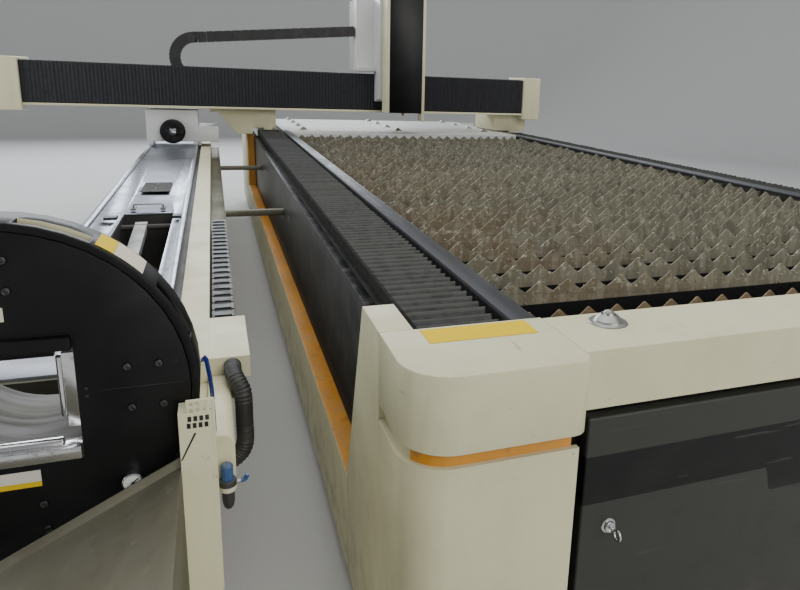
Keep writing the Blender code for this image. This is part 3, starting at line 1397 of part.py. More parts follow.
def feed_chuck():
    """Feeding chuck: a bored drum with four jaws on its face."""
    bm = bmesh.new()
    front = FEED_FACE - GAP - FEED_CHUCK_DEPTH
    edge = FEED_JAW_PROUD / 2
    profile = [
        (FEED_BORE, front),
        (FEED_CHUCK_RADIUS - edge, front),
        (FEED_CHUCK_RADIUS, front + edge),
        (FEED_CHUCK_RADIUS, FEED_FACE - GAP),
        (FEED_BORE, FEED_FACE - GAP),
    ]
    add_lathe(bm, profile, (TUBE_AXIS_X, 0, TUBE_AXIS_Z), "Y", 28)
    origin = (TUBE_AXIS_X, FEED_FACE, TUBE_AXIS_Z)
    obj = place("feed_chuck", bm, BLACK, origin=origin, smooth=30)
    jaws = bmesh.new()
    for i in range(4):
        low = (-FEED_JAW_WIDTH / 2, front - FEED_JAW_PROUD, FEED_BORE - edge)
        high = (FEED_JAW_WIDTH / 2, front + edge, FEED_JAW_OUT)
        made = add_box(jaws, low, high)
        placing = Matrix.Translation((TUBE_AXIS_X, 0, TUBE_AXIS_Z)) @ Matrix.Rotation(i * math.pi / 2, 4, "Y")
        bmesh.ops.transform(jaws, matrix=placing, verts=made)
    combine(obj, cutter("feed_jaws", jaws), "UNION")


def service_cover():
    """Cream cover beside the front chuck, with a rounded upper corner."""
    bm = bmesh.new()
    curve = arc((SERVICE_RIGHT - SERVICE_RADIUS, SERVICE_TOP - SERVICE_RADIUS), SERVICE_RADIUS, 0, 90, 6)
    outline = [(SERVICE_LEFT, SERVICE_BOTTOM), (SERVICE_RIGHT, SERVICE_BOTTOM)] + curve
    outline.append((SERVICE_LEFT, SERVICE_TOP))
    add_prism(bm, outline, "Y", SERVICE_FRONT, PEDESTAL_BACK)
    place("service_cover", bm, CREAM, smooth=30)


def chip_guard():
    """Narrow post in front of the chuck's rim, chamfered at its foot, with a perforated guard on it."""
    bm = bmesh.new()
    left = GUARD_POST_LEFT
    right = GUARD_POST_RIGHT
    outline = [
        (left, GUARD_POST_BOTTOM),
        (right - GUARD_POST_CHAMFER, GUARD_POST_BOTTOM),
        (right, GUARD_POST_BOTTOM + GUARD_POST_CHAMFER),
        (right, GUARD_POST_TOP),
        (left, GUARD_POST_TOP),
    ]
    back = CHUCK_FACE_Y - GUARD_THICKNESS
    add_prism(bm, outline, "Y", GUARD_POST_FRONT, back)
    obj = place("chip_guard", bm, CREAM)
    arm = bmesh.new()
    low = (SERVICE_LEFT, back - GUARD_THICKNESS, SERVICE_BOTTOM + GUARD_POST_CHAMFER / 2)
    high = (SERVICE_RIGHT - 2 * REGULATOR_RADIUS - 2 * GAP, SERVICE_FRONT - GAP, SERVICE_TOP - SERVICE_RADIUS)
    add_box(arm, low, high)
    combine(obj, cutter("guard_post_arm", arm), "UNION")
    grille = bmesh.new()
    near = GUARD_POST_FRONT
    columns = 2 * GUARD_COLUMN_COUNT + 1
    rows = 2 * GUARD_ROW_COUNT + 1
    grille_left = left + GRILLE_INSET
    xs = [grille_left + (right - grille_left) * i / columns for i in range(columns + 1)]
    bottom = GUARD_POST_TOP - GUARD_THICKNESS
    zs = [bottom + (GUARD_TOP - bottom) * k / rows for k in range(rows + 1)]
    ys = [near, near + GUARD_THICKNESS]

    def solid(i, j, k):
        return i % 2 == 0 or k % 2 == 0

    add_lattice(grille, xs, ys, zs, solid)
    combine(obj, cutter("guard_grille", grille), "UNION")


def discharge_chute():
    """Galvanised slide in front of the chuck, falling to the left, with a raised back rim."""
    bm = bmesh.new()
    low_z = CHUTE_RIDGE_Z - CHUTE_DROP
    outer = [
        (CHUTE_RIDGE_X, 0),
        (CHUTE_RIDGE_X, CHUTE_RIDGE_Z),
        (CHUTE_LEFT, low_z),
        (CHUTE_LEFT, 0),
    ]
    inner = [
        (CHUTE_RIDGE_X - CHUTE_SHEET, 0),
        (CHUTE_RIDGE_X - CHUTE_SHEET, CHUTE_RIDGE_Z - 2 * CHUTE_SHEET),
        (CHUTE_LEFT + CHUTE_SHEET, low_z - CHUTE_SHEET),
        (CHUTE_LEFT + CHUTE_SHEET, 0),
    ]
    add_prism(bm, sheet_outline(outer, inner), "Y", CHUTE_FRONT, CHUTE_BACK)
    obj = place("discharge_chute", bm, GALVANISED)
    rim = bmesh.new()
    band = [
        (CHUTE_RIDGE_X, CHUTE_RIDGE_Z - CHUTE_SHEET),
        (CHUTE_RIDGE_X, CHUTE_RIDGE_Z + CHUTE_RIM),
        (CHUTE_LEFT, low_z + CHUTE_RIM),
        (CHUTE_LEFT, low_z - CHUTE_SHEET / 2),
    ]
    add_prism(rim, band, "Y", CHUTE_BACK - CHUTE_SHEET, CHUTE_BACK)
    combine(obj, cutter("chute_rim", rim), "UNION")


def cable_tray():
    """Tray with raised edges along the tube bed, with bars that bolt it to the sheet bed."""
    left = COVER_RIGHT + GAP
    right = left + TRAY_WIDTH
    sheet = TRAY_SHEET
    bm = bmesh.new()
    outline = [
        (left, TRAY_BOTTOM),
        (right, TRAY_BOTTOM),
        (right, TRAY_BOTTOM + TRAY_LIP),
        (right - sheet, TRAY_BOTTOM + TRAY_LIP),
        (right - sheet, TRAY_BOTTOM + sheet),
        (left + sheet, TRAY_BOTTOM + sheet),
        (left + sheet, TRAY_BOTTOM + TRAY_LIP),
        (left, TRAY_BOTTOM + TRAY_LIP),
    ]
    add_prism(bm, outline, "Y", BOX_FRONT, TRAY_END)
    obj = place("cable_tray", bm, GALVANISED)
    bars = bmesh.new()
    for y in TIE_PLACES:
        low = (right - sheet / 2, y, TRAY_BOTTOM - TIE_HEIGHT / 2)
        add_box(bars, low, (RECESS_DEPTH, y + TIE_WIDTH, TRAY_BOTTOM + TIE_HEIGHT / 2))
    combine(obj, cutter("tie_bars", bars), "UNION")


def side_chain():
    """Cable chain that lies in the tray, notched along its top at each link."""
    start = BOX_BACK + GAP
    floor = TRAY_BOTTOM + TRAY_SHEET + GAP
    top = floor + SIDE_CHAIN_HEIGHT
    count = round((SIDE_CHAIN_END - start) / SIDE_CHAIN_LINK)
    step = (SIDE_CHAIN_END - start) / count
    outline = [(start, floor), (SIDE_CHAIN_END, floor), (SIDE_CHAIN_END, top)]
    for i in range(count - 1, 0, -1):
        joint = start + i * step
        outline += [(joint + CHAIN_NOTCH, top), (joint, top - CHAIN_NOTCH), (joint - CHAIN_NOTCH, top)]
    outline.append((start, top))
    left = COVER_RIGHT + GAP + TRAY_SHEET + GAP
    bm = bmesh.new()
    add_prism(bm, outline, "X", left, left + TRAY_WIDTH - 2 * (TRAY_SHEET + GAP))
    place("side_chain", bm, PLASTIC)


def regulator():
    """Air regulator on the service cover, with its turning knob."""
    x = SERVICE_RIGHT - REGULATOR_RADIUS
    y = SERVICE_FRONT - GAP - REGULATOR_RADIUS
    bm = bmesh.new()
    top = REGULATOR_BOTTOM + REGULATOR_HEIGHT
    profile = [
        (0, REGULATOR_BOTTOM),
        (REGULATOR_RADIUS / 2, REGULATOR_BOTTOM),
        (REGULATOR_RADIUS * 3 / 4, REGULATOR_BOTTOM + REGULATOR_NECK),
        (REGULATOR_RADIUS * 3 / 4, top - 2 * REGULATOR_NECK),
        (REGULATOR_RADIUS, top - 2 * REGULATOR_NECK),
        (REGULATOR_RADIUS, top),
        (0, top),
    ]
    add_lathe(bm, profile, (x, y, 0), "Z", 16)
    place("regulator_body", bm, PLASTIC, smooth=30)
    knob = bmesh.new()
    rise = [
        (0, 0),
        (KNOB_RADIUS, 0),
        (KNOB_RADIUS, KNOB_HEIGHT - KNOB_RADIUS / 3),
        (KNOB_RADIUS * 2 / 3, KNOB_HEIGHT),
        (0, KNOB_HEIGHT),
    ]
    add_lathe(knob, rise, (x, y, top + GAP), "Z", 16)
    place("regulator_knob", knob, BLUE, origin=(x, y, top), smooth=30)


def hose(name, route, radius, surface, resolution):
    """A closed tube along a smooth curve through the route's points."""
    points = [Vector(p) for p in route]
    smooth = []
    padded = [2 * points[0] - points[1]] + points + [2 * points[-1] - points[-2]]
    steps = 3
    for a, b, c, d in zip(padded, padded[1:], padded[2:], padded[3:]):
        for i in range(steps):
            t = i / steps
            flat = (2 * b) + (c - a) * t + (2 * a - 5 * b + 4 * c - d) * t * t
            smooth.append((flat + (3 * b - a - 3 * c + d) * t * t * t) / 2)
    smooth.append(points[-1])
    curve = bpy.data.curves.new(name, "CURVE")
    curve.dimensions = "3D"
    curve.bevel_depth = radius
    curve.bevel_resolution = resolution
    curve.use_fill_caps = True
    spline = curve.splines.new("POLY")
    spline.points.add(len(smooth) - 1)
    for point, spot in zip(spline.points, smooth):
        point.co = (*spot, 1.0)
    curve.materials.append(surface)
    obj = bpy.data.objects.new(name, curve)
    bpy.context.scene.collection.objects.link(obj)
    obj.parent = datum


def hoses():
    """The ribbed hose out of the cable box, and the air hose from the chuck to the cover."""
    bend = HOSE_RADIUS * 13 / 5
    exit_x = SERVICE_RIGHT + HOSE_RADIUS / 4
    side_x = SERVICE_RIGHT + HOSE_RADIUS * 6 / 5
    exit_z = BOX_TOP - HOSE_RADIUS - 2 * GAP
    start_y = BOX_FRONT - 2 * HOSE_RADIUS
    end_y = start_y - bend
    end_z = SERVICE_BOTTOM - HOSE_RADIUS * 13 / 5
    ribbed = [
        (exit_x, BOX_FRONT - 2 * GAP, exit_z),
        (exit_x, BOX_FRONT - HOSE_RADIUS, exit_z),
        (exit_x, start_y, exit_z),
    ]
    for turn, share in ((30, 0.3), (60, 0.9), (90, 1.0)):
        sine = math.sin(math.radians(turn))
        cosine = math.cos(math.radians(turn))
        x = exit_x + share * (side_x - exit_x)
        ribbed.append((x, start_y - bend * sine, exit_z - bend * (1 - cosine)))
    ribbed.append((side_x, end_y, (exit_z + end_z) / 2))
    for turn in (0, 30, 60, 90):
        sine = math.sin(math.radians(turn))
        cosine = math.cos(math.radians(turn))
        ribbed.append((side_x - bend * (1 - cosine), end_y, end_z + bend * (1 - sine)))
    ribbed.append((SERVICE_LEFT + HOSE_RADIUS / 2, end_y, end_z))
    ribbed.append((SERVICE_LEFT + GAP, end_y, end_z))
    hose("ribbed_hose", ribbed, HOSE_RADIUS, PLASTIC, 2)
    turn = math.radians(2)
    y = CHUCK_FACE_Y + CHUCK_DEPTH - SLEEVE_WALL
    out = [CHUCK_RADIUS + 3 * GAP + i * AIR_HOSE_RADIUS for i in range(3)]
    air = [(TUBE_AXIS_X + r * math.cos(turn), y, TUBE_AXIS_Z + r * math.sin(turn)) for r in out]
    foot_x = SERVICE_LEFT + 3 * AIR_HOSE_RADIUS
    foot_y = SERVICE_FRONT + 5 * AIR_HOSE_RADIUS
    for share, rise in ((0.2, 30), (0.6, 19), (0.95, 9), (1.0, 3)):
        air.append((foot_x, y + share * (foot_y - y), SERVICE_TOP + rise * AIR_HOSE_RADIUS))
    air.append((foot_x, foot_y, SERVICE_TOP + 2 * GAP))
    hose("air_hose", air, AIR_HOSE_RADIUS, BLUE, 1)


bed_frame()
for hand in ("left", "right"):
    side_skirt(hand)
    side_panel(hand)
    corner_cap(hand)
    corner_post(hand)
    edge_strip(hand)
front_beam()
rear_panel()
slat_grid()
rear_deck()
side_bellows("bellows_left", BELLOWS_INSET)
side_bellows("bellows_right", BED_WIDTH - BELLOWS_INSET - BELLOWS_WIDTH)
front_doors()
door_hinges()
door_lock()
gantry_beam()
beam_cover()
beam_cap("beam_cap_left", BEAM_LEFT - END_CAP_LENGTH, BEAM_LEFT - GAP)
beam_cap("beam_cap_right", BEAM_RIGHT + GAP, BEAM_RIGHT + END_CAP_LENGTH)
beam_bellows("beam_bellows_left", BEAM_LEFT + GAP, CARRIAGE_LEFT - GAP)
beam_bellows("beam_bellows_right", CARRIAGE_RIGHT + GAP, BEAM_RIGHT - GAP)
gantry_legs()
head_carriage()
column_cover()
laser_head()
head_chain()
tube_bed()
tube_top_plate()
tube_side_cover()
support_arm()
chuck_pedestal()
chuck_housing()
chuck_face()
chuck_jaws()
pressure_gauge()
feed_carriage()
feed_chuck()
service_cover()
chip_guard()
discharge_chute()
cable_tray()
side_chain()
regulator()
hoses()
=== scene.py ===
"""Fibre laser machine for sheet and tube: materials, fine pieces, floor, light and camera."""
import json
import math
import random

import bpy
import bmesh
from mathutils import Matrix, Vector, noise

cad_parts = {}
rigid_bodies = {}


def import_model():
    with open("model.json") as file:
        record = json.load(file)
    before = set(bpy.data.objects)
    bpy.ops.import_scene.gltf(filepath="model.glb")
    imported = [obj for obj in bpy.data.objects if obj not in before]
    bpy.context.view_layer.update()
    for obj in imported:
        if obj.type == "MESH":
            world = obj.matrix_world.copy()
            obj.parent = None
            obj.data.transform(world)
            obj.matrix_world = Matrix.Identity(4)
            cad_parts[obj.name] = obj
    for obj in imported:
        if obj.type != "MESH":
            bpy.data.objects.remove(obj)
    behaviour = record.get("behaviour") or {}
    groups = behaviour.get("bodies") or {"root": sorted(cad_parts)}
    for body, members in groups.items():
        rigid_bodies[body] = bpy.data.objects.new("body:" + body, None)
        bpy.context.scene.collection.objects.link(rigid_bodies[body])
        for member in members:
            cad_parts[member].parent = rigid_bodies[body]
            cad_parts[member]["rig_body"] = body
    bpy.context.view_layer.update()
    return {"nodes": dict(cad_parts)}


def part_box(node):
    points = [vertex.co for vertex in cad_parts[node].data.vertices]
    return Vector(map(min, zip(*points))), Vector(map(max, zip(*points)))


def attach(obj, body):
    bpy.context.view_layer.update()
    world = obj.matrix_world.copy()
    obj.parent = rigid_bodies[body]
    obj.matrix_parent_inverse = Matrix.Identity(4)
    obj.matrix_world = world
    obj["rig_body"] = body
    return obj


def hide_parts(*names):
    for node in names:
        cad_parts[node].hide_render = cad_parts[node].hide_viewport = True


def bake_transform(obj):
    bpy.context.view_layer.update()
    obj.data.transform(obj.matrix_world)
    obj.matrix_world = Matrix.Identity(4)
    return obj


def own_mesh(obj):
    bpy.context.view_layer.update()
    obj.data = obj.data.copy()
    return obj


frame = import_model()
NODES = frame["nodes"]

# The datum of the part's own sizes: outer left plane and front plane of the sheet bed, on the floor
DATUM = Vector((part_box("side_skirt_left")[0].x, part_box("front_door_left")[0].y, 0.0))
CLEAR = 0.0004
SEAT = 0.0002
BED_WIDTH = 2.62
BED_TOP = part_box("edge_strip_left")[1].z
PLATE_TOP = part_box("tube_top_plate")[1].z
CHUCK_X = (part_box("chuck_housing")[0].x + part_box("chuck_housing")[1].x) / 2 - DATUM.x
CHUCK_Z = (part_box("chuck_housing")[0].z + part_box("chuck_housing")[1].z) / 2
RIM_RADIUS = (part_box("chuck_housing")[1].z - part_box("chuck_housing")[0].z) / 2

# Places of the ball units on the front beam and on the rear deck
BALL_COLUMNS = [0.455 + 0.838 * i for i in range(3)]
BALL_FRONT_ROWS = [0.124]
BALL_REAR_ROWS = [5.01 + 0.42 * i for i in range(4)]

# Slatted field
SLAT_COUNT = 32
SLAT_FIRST = 0.29
SLAT_PITCH = 0.136
SLAT_SIDE = 0.3234
SLAT_END = 0.013
SLAT_SHEET = 0.0038
TOOTH_COUNT = 26
TOOTH_DEPTH = 0.028
FRONT_SLAT_DROP = 0.0290

# Bend of the head's chain: its middle, and where its two ends meet the straight runs
BEND_X = -0.373
BEND_UPPER_END = -0.3575
BEND_LOWER_END = -0.3376

# Strokes of the gantry and of the head to the left, and the blend length per stroke that never folds over
HEAD_STROKE = 1.83
FOLD_FREE = 1.51


def low(node):
    """Lowest corner of a node, from the datum."""
    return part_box(node)[0] - DATUM


def high(node):
    """Highest corner of a node, from the datum."""
    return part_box(node)[1] - DATUM


# Shader maths


def add_node(tree, kind, settings=None, inputs=None):
    """Add a node to a tree: its settings first, then the values or links of its sockets."""
    made = tree.nodes.new(kind)
    for name, value in (settings or {}).items():
        setattr(made, name, value)
    for name, value in (inputs or {}).items():
        if isinstance(value, bpy.types.NodeSocket):
            tree.links.new(value, made.inputs[name])
        else:
            made.inputs[name].default_value = value
    return made


class Value:
    """A shader socket that can be added to, multiplied and compared like a number."""

    def __init__(self, look, socket):
        self.look = look
        self.socket = socket

    def math(self, operation, *others):
        inputs = dict(enumerate((self,) + others))
        return Value(self.look, self.look.node("ShaderNodeMath", {"operation": operation}, inputs).outputs[0])

    def __add__(self, other):
        return self.math("ADD", other)

    def __sub__(self, other):
        return self.math("SUBTRACT", other)

    def __rsub__(self, other):
        return (self * -1.0) + other

    def __mul__(self, other):
        return self.math("MULTIPLY", other)

    __radd__ = __add__
    __rmul__ = __mul__

    def most(self, other):
        return self.math("MAXIMUM", other)

    def least(self, other):
        return self.math("MINIMUM", other)

    def clamp(self):
        return self.most(0.0).least(1.0)

    def rise(self, start, end):
        """Smooth step from 0 at start to 1 at end."""
        flip = start > end
        inputs = {
            "Value": self, "From Min": end if flip else start, "From Max": start if flip else end,
            "To Min": 1.0 if flip else 0.0, "To Max": 0.0 if flip else 1.0,
        }
        made = self.look.node("ShaderNodeMapRange", {"interpolation_type": "SMOOTHSTEP"}, inputs)
        return Value(self.look, made.outputs["Result"])

    def within(self, start, end, soft):
        """1 between start and end, 0 outside, with soft edges."""
        return self.rise(start - soft, start + soft) * self.rise(end + soft, end - soft)


class Look:
    """A procedural material: one Principled shader fed from object coordinates."""

    def __init__(self, name, colour, roughness, metallic=0.0, slot="", specular=None):
        self.material = bpy.data.materials.new(name)
        self.material.use_nodes = True
        self.material["slot"] = slot
        self.tree = self.material.node_tree
        self.shader = self.tree.nodes["Principled BSDF"]
        self.shader.inputs["Metallic"].default_value = metallic
        if specular is not None:
            self.shader.inputs["Specular IOR Level"].default_value = specular
        self.heights = []
        coordinates = self.node("ShaderNodeTexCoord").outputs["Object"]
        self.place = self.node("ShaderNodeVectorMath", inputs={0: coordinates, 1: -DATUM}).outputs[0]
        self.x, self.y, self.z = self.parts(self.place)
        self.up = self.parts(self.node("ShaderNodeNewGeometry").outputs["Normal"])[2]
        self.colour = self.node("ShaderNodeRGB").outputs[0]
        self.colour.default_value = (*colour, 1.0)
        self.roughness = Value(self, self.node("ShaderNodeValue").outputs[0])
        self.roughness.socket.default_value = roughness

    def node(self, kind, settings=None, inputs=None):
        """Add a node whose inputs may be values, sockets or numbers."""
        sockets = {}
        for name, item in (inputs or {}).items():
            sockets[name] = item.socket if isinstance(item, Value) else item
        return add_node(self.tree, kind, settings, sockets)

    def parts(self, vector):
        return [Value(self, out) for out in self.node("ShaderNodeSeparateXYZ", inputs={0: vector}).outputs]

    def stretched(self, stretch, shift):
        """Object coordinates, stretched, and moved so that no two patterns agree."""
        inputs = {"Vector": self.place, "Scale": stretch, "Location": (shift, shift * 0.7, shift * 1.3)}
        return self.node("ShaderNodeMapping", inputs=inputs).outputs[0]

    def noise(self, scale, detail=3.0, stretch=(1, 1, 1), warp=0.0, shift=0.0):
        inputs = {"Scale": scale, "Detail": detail, "Roughness": 0.55, "Distortion": warp}
        inputs["Vector"] = self.stretched(stretch, shift)
        return Value(self, self.node("ShaderNodeTexNoise", inputs=inputs).outputs["Fac"])

    def cells(self, scale, shift=0.0):
        inputs = {"Scale": scale, "Vector": self.stretched((1, 1, 1), shift)}
        return Value(self, self.node("ShaderNodeTexVoronoi", inputs=inputs).outputs["Distance"])

    def paint(self, mask, colour, amount=1.0):
        """Lay another colour over what is there, where the mask is 1."""
        inputs = {"Factor": (mask * amount).clamp(), 6: self.colour, 7: (*colour, 1.0)}
        self.colour = self.node("ShaderNodeMix", {"data_type": "RGBA"}, inputs).outputs[2]
        return self

    def rougher(self, mask, amount):
        self.roughness = self.roughness + mask * amount
        return self

    def raise_by(self, height, metres):
        self.heights.append(height * metres)
        return self

    def done(self):
        """Join the colour, roughness and bump to the shader and give back the material."""
        self.tree.links.new(self.colour, self.shader.inputs["Base Color"])
        self.tree.links.new(self.roughness.most(0.04).least(1.0).socket, self.shader.inputs["Roughness"])
        if self.heights:
            total = sum(self.heights[1:], self.heights[0])
            bump = self.node("ShaderNodeBump", inputs={"Distance": 1.0, "Height": total})
            self.tree.links.new(bump.outputs[0], self.shader.inputs["Normal"])
        return self.material


def dust(look, colour, strength, scale=9.0, shift=0.0):
    """Settled dust: heavier on faces that look up, broken by noise, and a little rougher there."""
    patchy = look.noise(scale, 5.0, shift=shift).rise(0.42, 0.72)
    upward = look.up.rise(0.2, 0.95)
    look.paint(patchy * (upward * 0.8 + 0.2), colour, strength)
    look.rougher(patchy * upward, 0.12)
    return look


def specks(look, colour, scale, share, strength, shift=3.0):
    """Small sharp spots."""
    spots = look.cells(scale, shift=shift).rise(share, share * 0.6)
    broken = look.noise(scale * 0.12, 2.0, shift=shift).rise(0.45, 0.6)
    look.paint(spots * broken, colour, strength)
    return look


# Materials

CREAM = (0.690, 0.665, 0.440)
ORANGE = (0.700, 0.300, 0.022)
DIRT = (0.115, 0.095, 0.068)


def cream_paint():
    look = Look("cream_paint", CREAM, 0.36, slot="cream_paint")
    broad = look.noise(1.7, 4.0)
    look.paint(broad.rise(0.35, 0.75), (0.620, 0.590, 0.375), 0.50)
    streak = look.noise(5.0, 4.0, stretch=(3.0, 3.0, 0.35), shift=4.0).rise(0.52, 0.78)
    look.paint(streak, (0.500, 0.465, 0.300), 0.25)
    low_part = look.z.rise(0.34, 0.04)
    grime = look.noise(14.0, 6.0, shift=8.0).rise(0.38, 0.70)
    look.paint(grime * (low_part * 0.75 + 0.10), DIRT, 0.55)
    scuff = look.noise(30.0, 3.0, stretch=(1.0, 0.25, 1.6), shift=2.0).rise(0.68, 0.76)
    look.paint(scuff, (0.240, 0.215, 0.170), 0.45)
    specks(look, (0.16, 0.13, 0.09), 27.0, 0.055, 0.45)
    dust(look, (0.57, 0.545, 0.40), 0.25, 6.0, shift=11.0)
    look.rougher(broad, 0.16).rougher(grime, 0.10)
    look.raise_by(look.noise(420.0, 2.0), 0.00006)
    look.raise_by(look.noise(2.4, 2.0, shift=5.0), 0.0016)
    return look.done()


def orange_paint():
    look = Look("orange_paint", ORANGE, 0.38, slot="cream_paint")
    look.paint(look.noise(3.0, 4.0).rise(0.35, 0.75), (0.500, 0.205, 0.014), 0.5)
    look.paint(look.noise(26.0, 5.0, shift=4.0).rise(0.55, 0.75), DIRT, 0.45)
    dust(look, (0.40, 0.30, 0.17), 0.4)
    look.raise_by(look.noise(400.0, 2.0), 0.00005)
    return look.done()


def door_paint():
    look = Look("door_paint", (0.040, 0.041, 0.035), 0.34, slot="dark_grey_paint", specular=0.30)
    band_top, band_foot, band_drop = 0.634, 0.532, 0.057
    step = look.x.rise(0.800, 0.822)
    foot = band_foot - step * band_drop
    band = look.z.math("GREATER_THAN", foot) * look.z.math("LESS_THAN", band_top)
    look.paint(band, (0.0042, 0.0042, 0.0044))
    wipe = look.noise(4.0, 5.0, stretch=(0.6, 1.0, 1.6), warp=0.6)
    look.paint(wipe.rise(0.45, 0.80), (0.055, 0.055, 0.047), 0.35)
    grime = look.noise(20.0, 6.0, shift=5.0).rise(0.45, 0.75)
    look.paint(grime * look.z.rise(0.34, 0.10), (0.16, 0.14, 0.11), 0.55)
    scratch = look.noise(46.0, 2.0, stretch=(0.10, 1.0, 1.8), shift=7.0).rise(0.70, 0.74)
    look.paint(scratch, (0.10, 0.10, 0.09), 0.30)
    specks(look, (0.18, 0.17, 0.15), 34.0, 0.05, 0.35)
    look.rougher(wipe, 0.22).rougher(grime, 0.12).rougher(band, -0.05)
    look.raise_by(look.noise(380.0, 2.0), 0.00005)
    look.raise_by(look.noise(2.0, 2.0, shift=3.0), 0.0022)
    return look.done()


def panel_paint():
    look = Look("side_panel_paint", (0.024, 0.025, 0.028), 0.30, slot="dark_grey_paint", specular=0.35)
    wipe = look.noise(2.5, 5.0, stretch=(1.0, 0.5, 1.4), warp=0.4)
    look.paint(wipe.rise(0.40, 0.80), (0.075, 0.074, 0.070), 0.55)
    dust(look, (0.20, 0.19, 0.17), 0.6, 12.0)
    look.rougher(wipe, 0.30)
    look.raise_by(look.noise(1.6, 2.0), 0.0025)
    return look.done()


def black_paint(name="black_paint", gloss=0.34):
    look = Look(name, (0.0050, 0.0050, 0.0056), gloss, slot="black_paint", specular=0.22)
    haze = look.noise(6.0, 5.0, warp=0.5)
    look.paint(haze.rise(0.45, 0.80), (0.0120, 0.0120, 0.0130), 0.60)
    specks(look, (0.13, 0.12, 0.11), 30.0, 0.045, 0.40, shift=9.0)
    dust(look, (0.045, 0.043, 0.038), 0.30, 10.0, shift=4.0)
    look.rougher(haze, 0.20)
    look.raise_by(look.noise(300.0, 2.0), 0.00007)
    return look.done()


def bore_paint():
    """Inside of the chuck's through hole: grey-beige and dusty, with darker rings of painted shade round it.
    """
    look = Look("bore_paint", (0.150, 0.145, 0.125), 0.55, slot="white_paint")
    # Painted shade: darker rings round the bore, for the shaded bands below its steps.
    shade_rings = look.noise(34.0, 3.0, stretch=(0.1, 1.0, 0.1)).rise(0.45, 0.70)
    look.paint(shade_rings, (0.075, 0.070, 0.060), 0.7)
    dust(look, (0.26, 0.25, 0.21), 0.6, 9.0)
    look.rougher(shade_rings, 0.2)
    return look.done()


def frame_paint():
    look = Look("frame_paint", (0.022, 0.022, 0.023), 0.60, slot="frame_paint")
    look.paint(look.noise(8.0, 5.0).rise(0.4, 0.7), (0.045, 0.040, 0.032), 0.7)
    dust(look, (0.085, 0.078, 0.064), 0.6, 9.0)
    look.raise_by(look.noise(140.0, 3.0), 0.0002)
    return look.done()


def bellows_cloth(name, pitch_axis, tint, dusty, level=0.0):
    """Coated cloth, worn grey in patches and dusty on top. Given a level, darker towards the back, with
    painted shade in the valleys of the folds and a lighter line along the crests, partly wear and partly
    painted highlight.
    """
    look = Look(name, tint, 0.52, slot="bellows_cloth")
    axis = {"X": look.x, "Y": look.y}[pitch_axis]
    threads = (axis * 900.0).math("SINE") * 0.5 + (look.z * 900.0).math("SINE") * 0.5
    worn = look.noise(24.0, 5.0, stretch=(1.6, 1.6, 1.0)).rise(0.42, 0.72)
    look.paint(worn, tuple(1.9 * c + 0.004 for c in tint), 0.40 * dusty)
    if level:
        # Darker towards the back.
        look.paint(look.y.rise(1.2, 3.6), (0.0080, 0.0085, 0.0095), 0.7)
        # Painted shade: near-black low in each fold, where the folds shade one another.
        look.paint(look.z.rise(level - 0.0040, level - 0.0056), (0.0016, 0.0016, 0.0014), 0.95)
        # Lighter line along each crest: partly wear, partly painted highlight.
        crest = look.z.rise(level - 0.0030, level - 0.0004)
        look.paint(crest * (worn * 0.6 + 0.4), (0.070, 0.070, 0.055), 0.65 * dusty)
    specks(look, (0.12, 0.11, 0.09), 40.0, 0.06, 0.35 * dusty)
    look.rougher(worn, 0.22)
    look.raise_by(threads, 0.00004)
    look.raise_by(look.noise(60.0, 4.0, shift=3.0), 0.0008)
    return look.done()


def machined_steel(name="machined_steel", tint=(0.46, 0.48, 0.52), rough=0.26):
    look = Look(name, tint, rough, 1.0, slot="machined_steel")
    grain = look.noise(260.0, 3.0, stretch=(1.0, 0.04, 1.0))
    stain = look.noise(5.0, 5.0, warp=0.8).rise(0.45, 0.75)
    look.paint(stain, (0.22, 0.22, 0.22), 0.55)
    look.paint(look.noise(22.0, 5.0, shift=5.0).rise(0.60, 0.75), (0.16, 0.12, 0.085), 0.5)
    specks(look, (0.08, 0.07, 0.06), 55.0, 0.14, 0.7)
    look.rougher(grain, 0.16).rougher(stain, 0.16)
    look.raise_by(grain, 0.00008)
    return look.done()


def strip_steel():
    """Edge strips: blue-grey and rubbed, lighter towards the back."""
    look = Look("strip_steel", (0.070, 0.073, 0.080), 0.46, 0.85, slot="machined_steel")
    look.paint(look.y.rise(0.9, 3.0), (0.30, 0.31, 0.33), 0.8)
    rub = look.noise(9.0, 5.0, stretch=(1.0, 0.4, 1.0)).rise(0.45, 0.72)
    look.paint(rub, (0.120, 0.122, 0.128), 0.5)
    look.paint(look.noise(30.0, 4.0, shift=3.0).rise(0.6, 0.75), (0.10, 0.075, 0.05), 0.5)
    look.rougher(rub, 0.18)
    look.raise_by(look.noise(240.0, 2.0, stretch=(1.0, 0.05, 1.0)), 0.00006)
    return look.done()


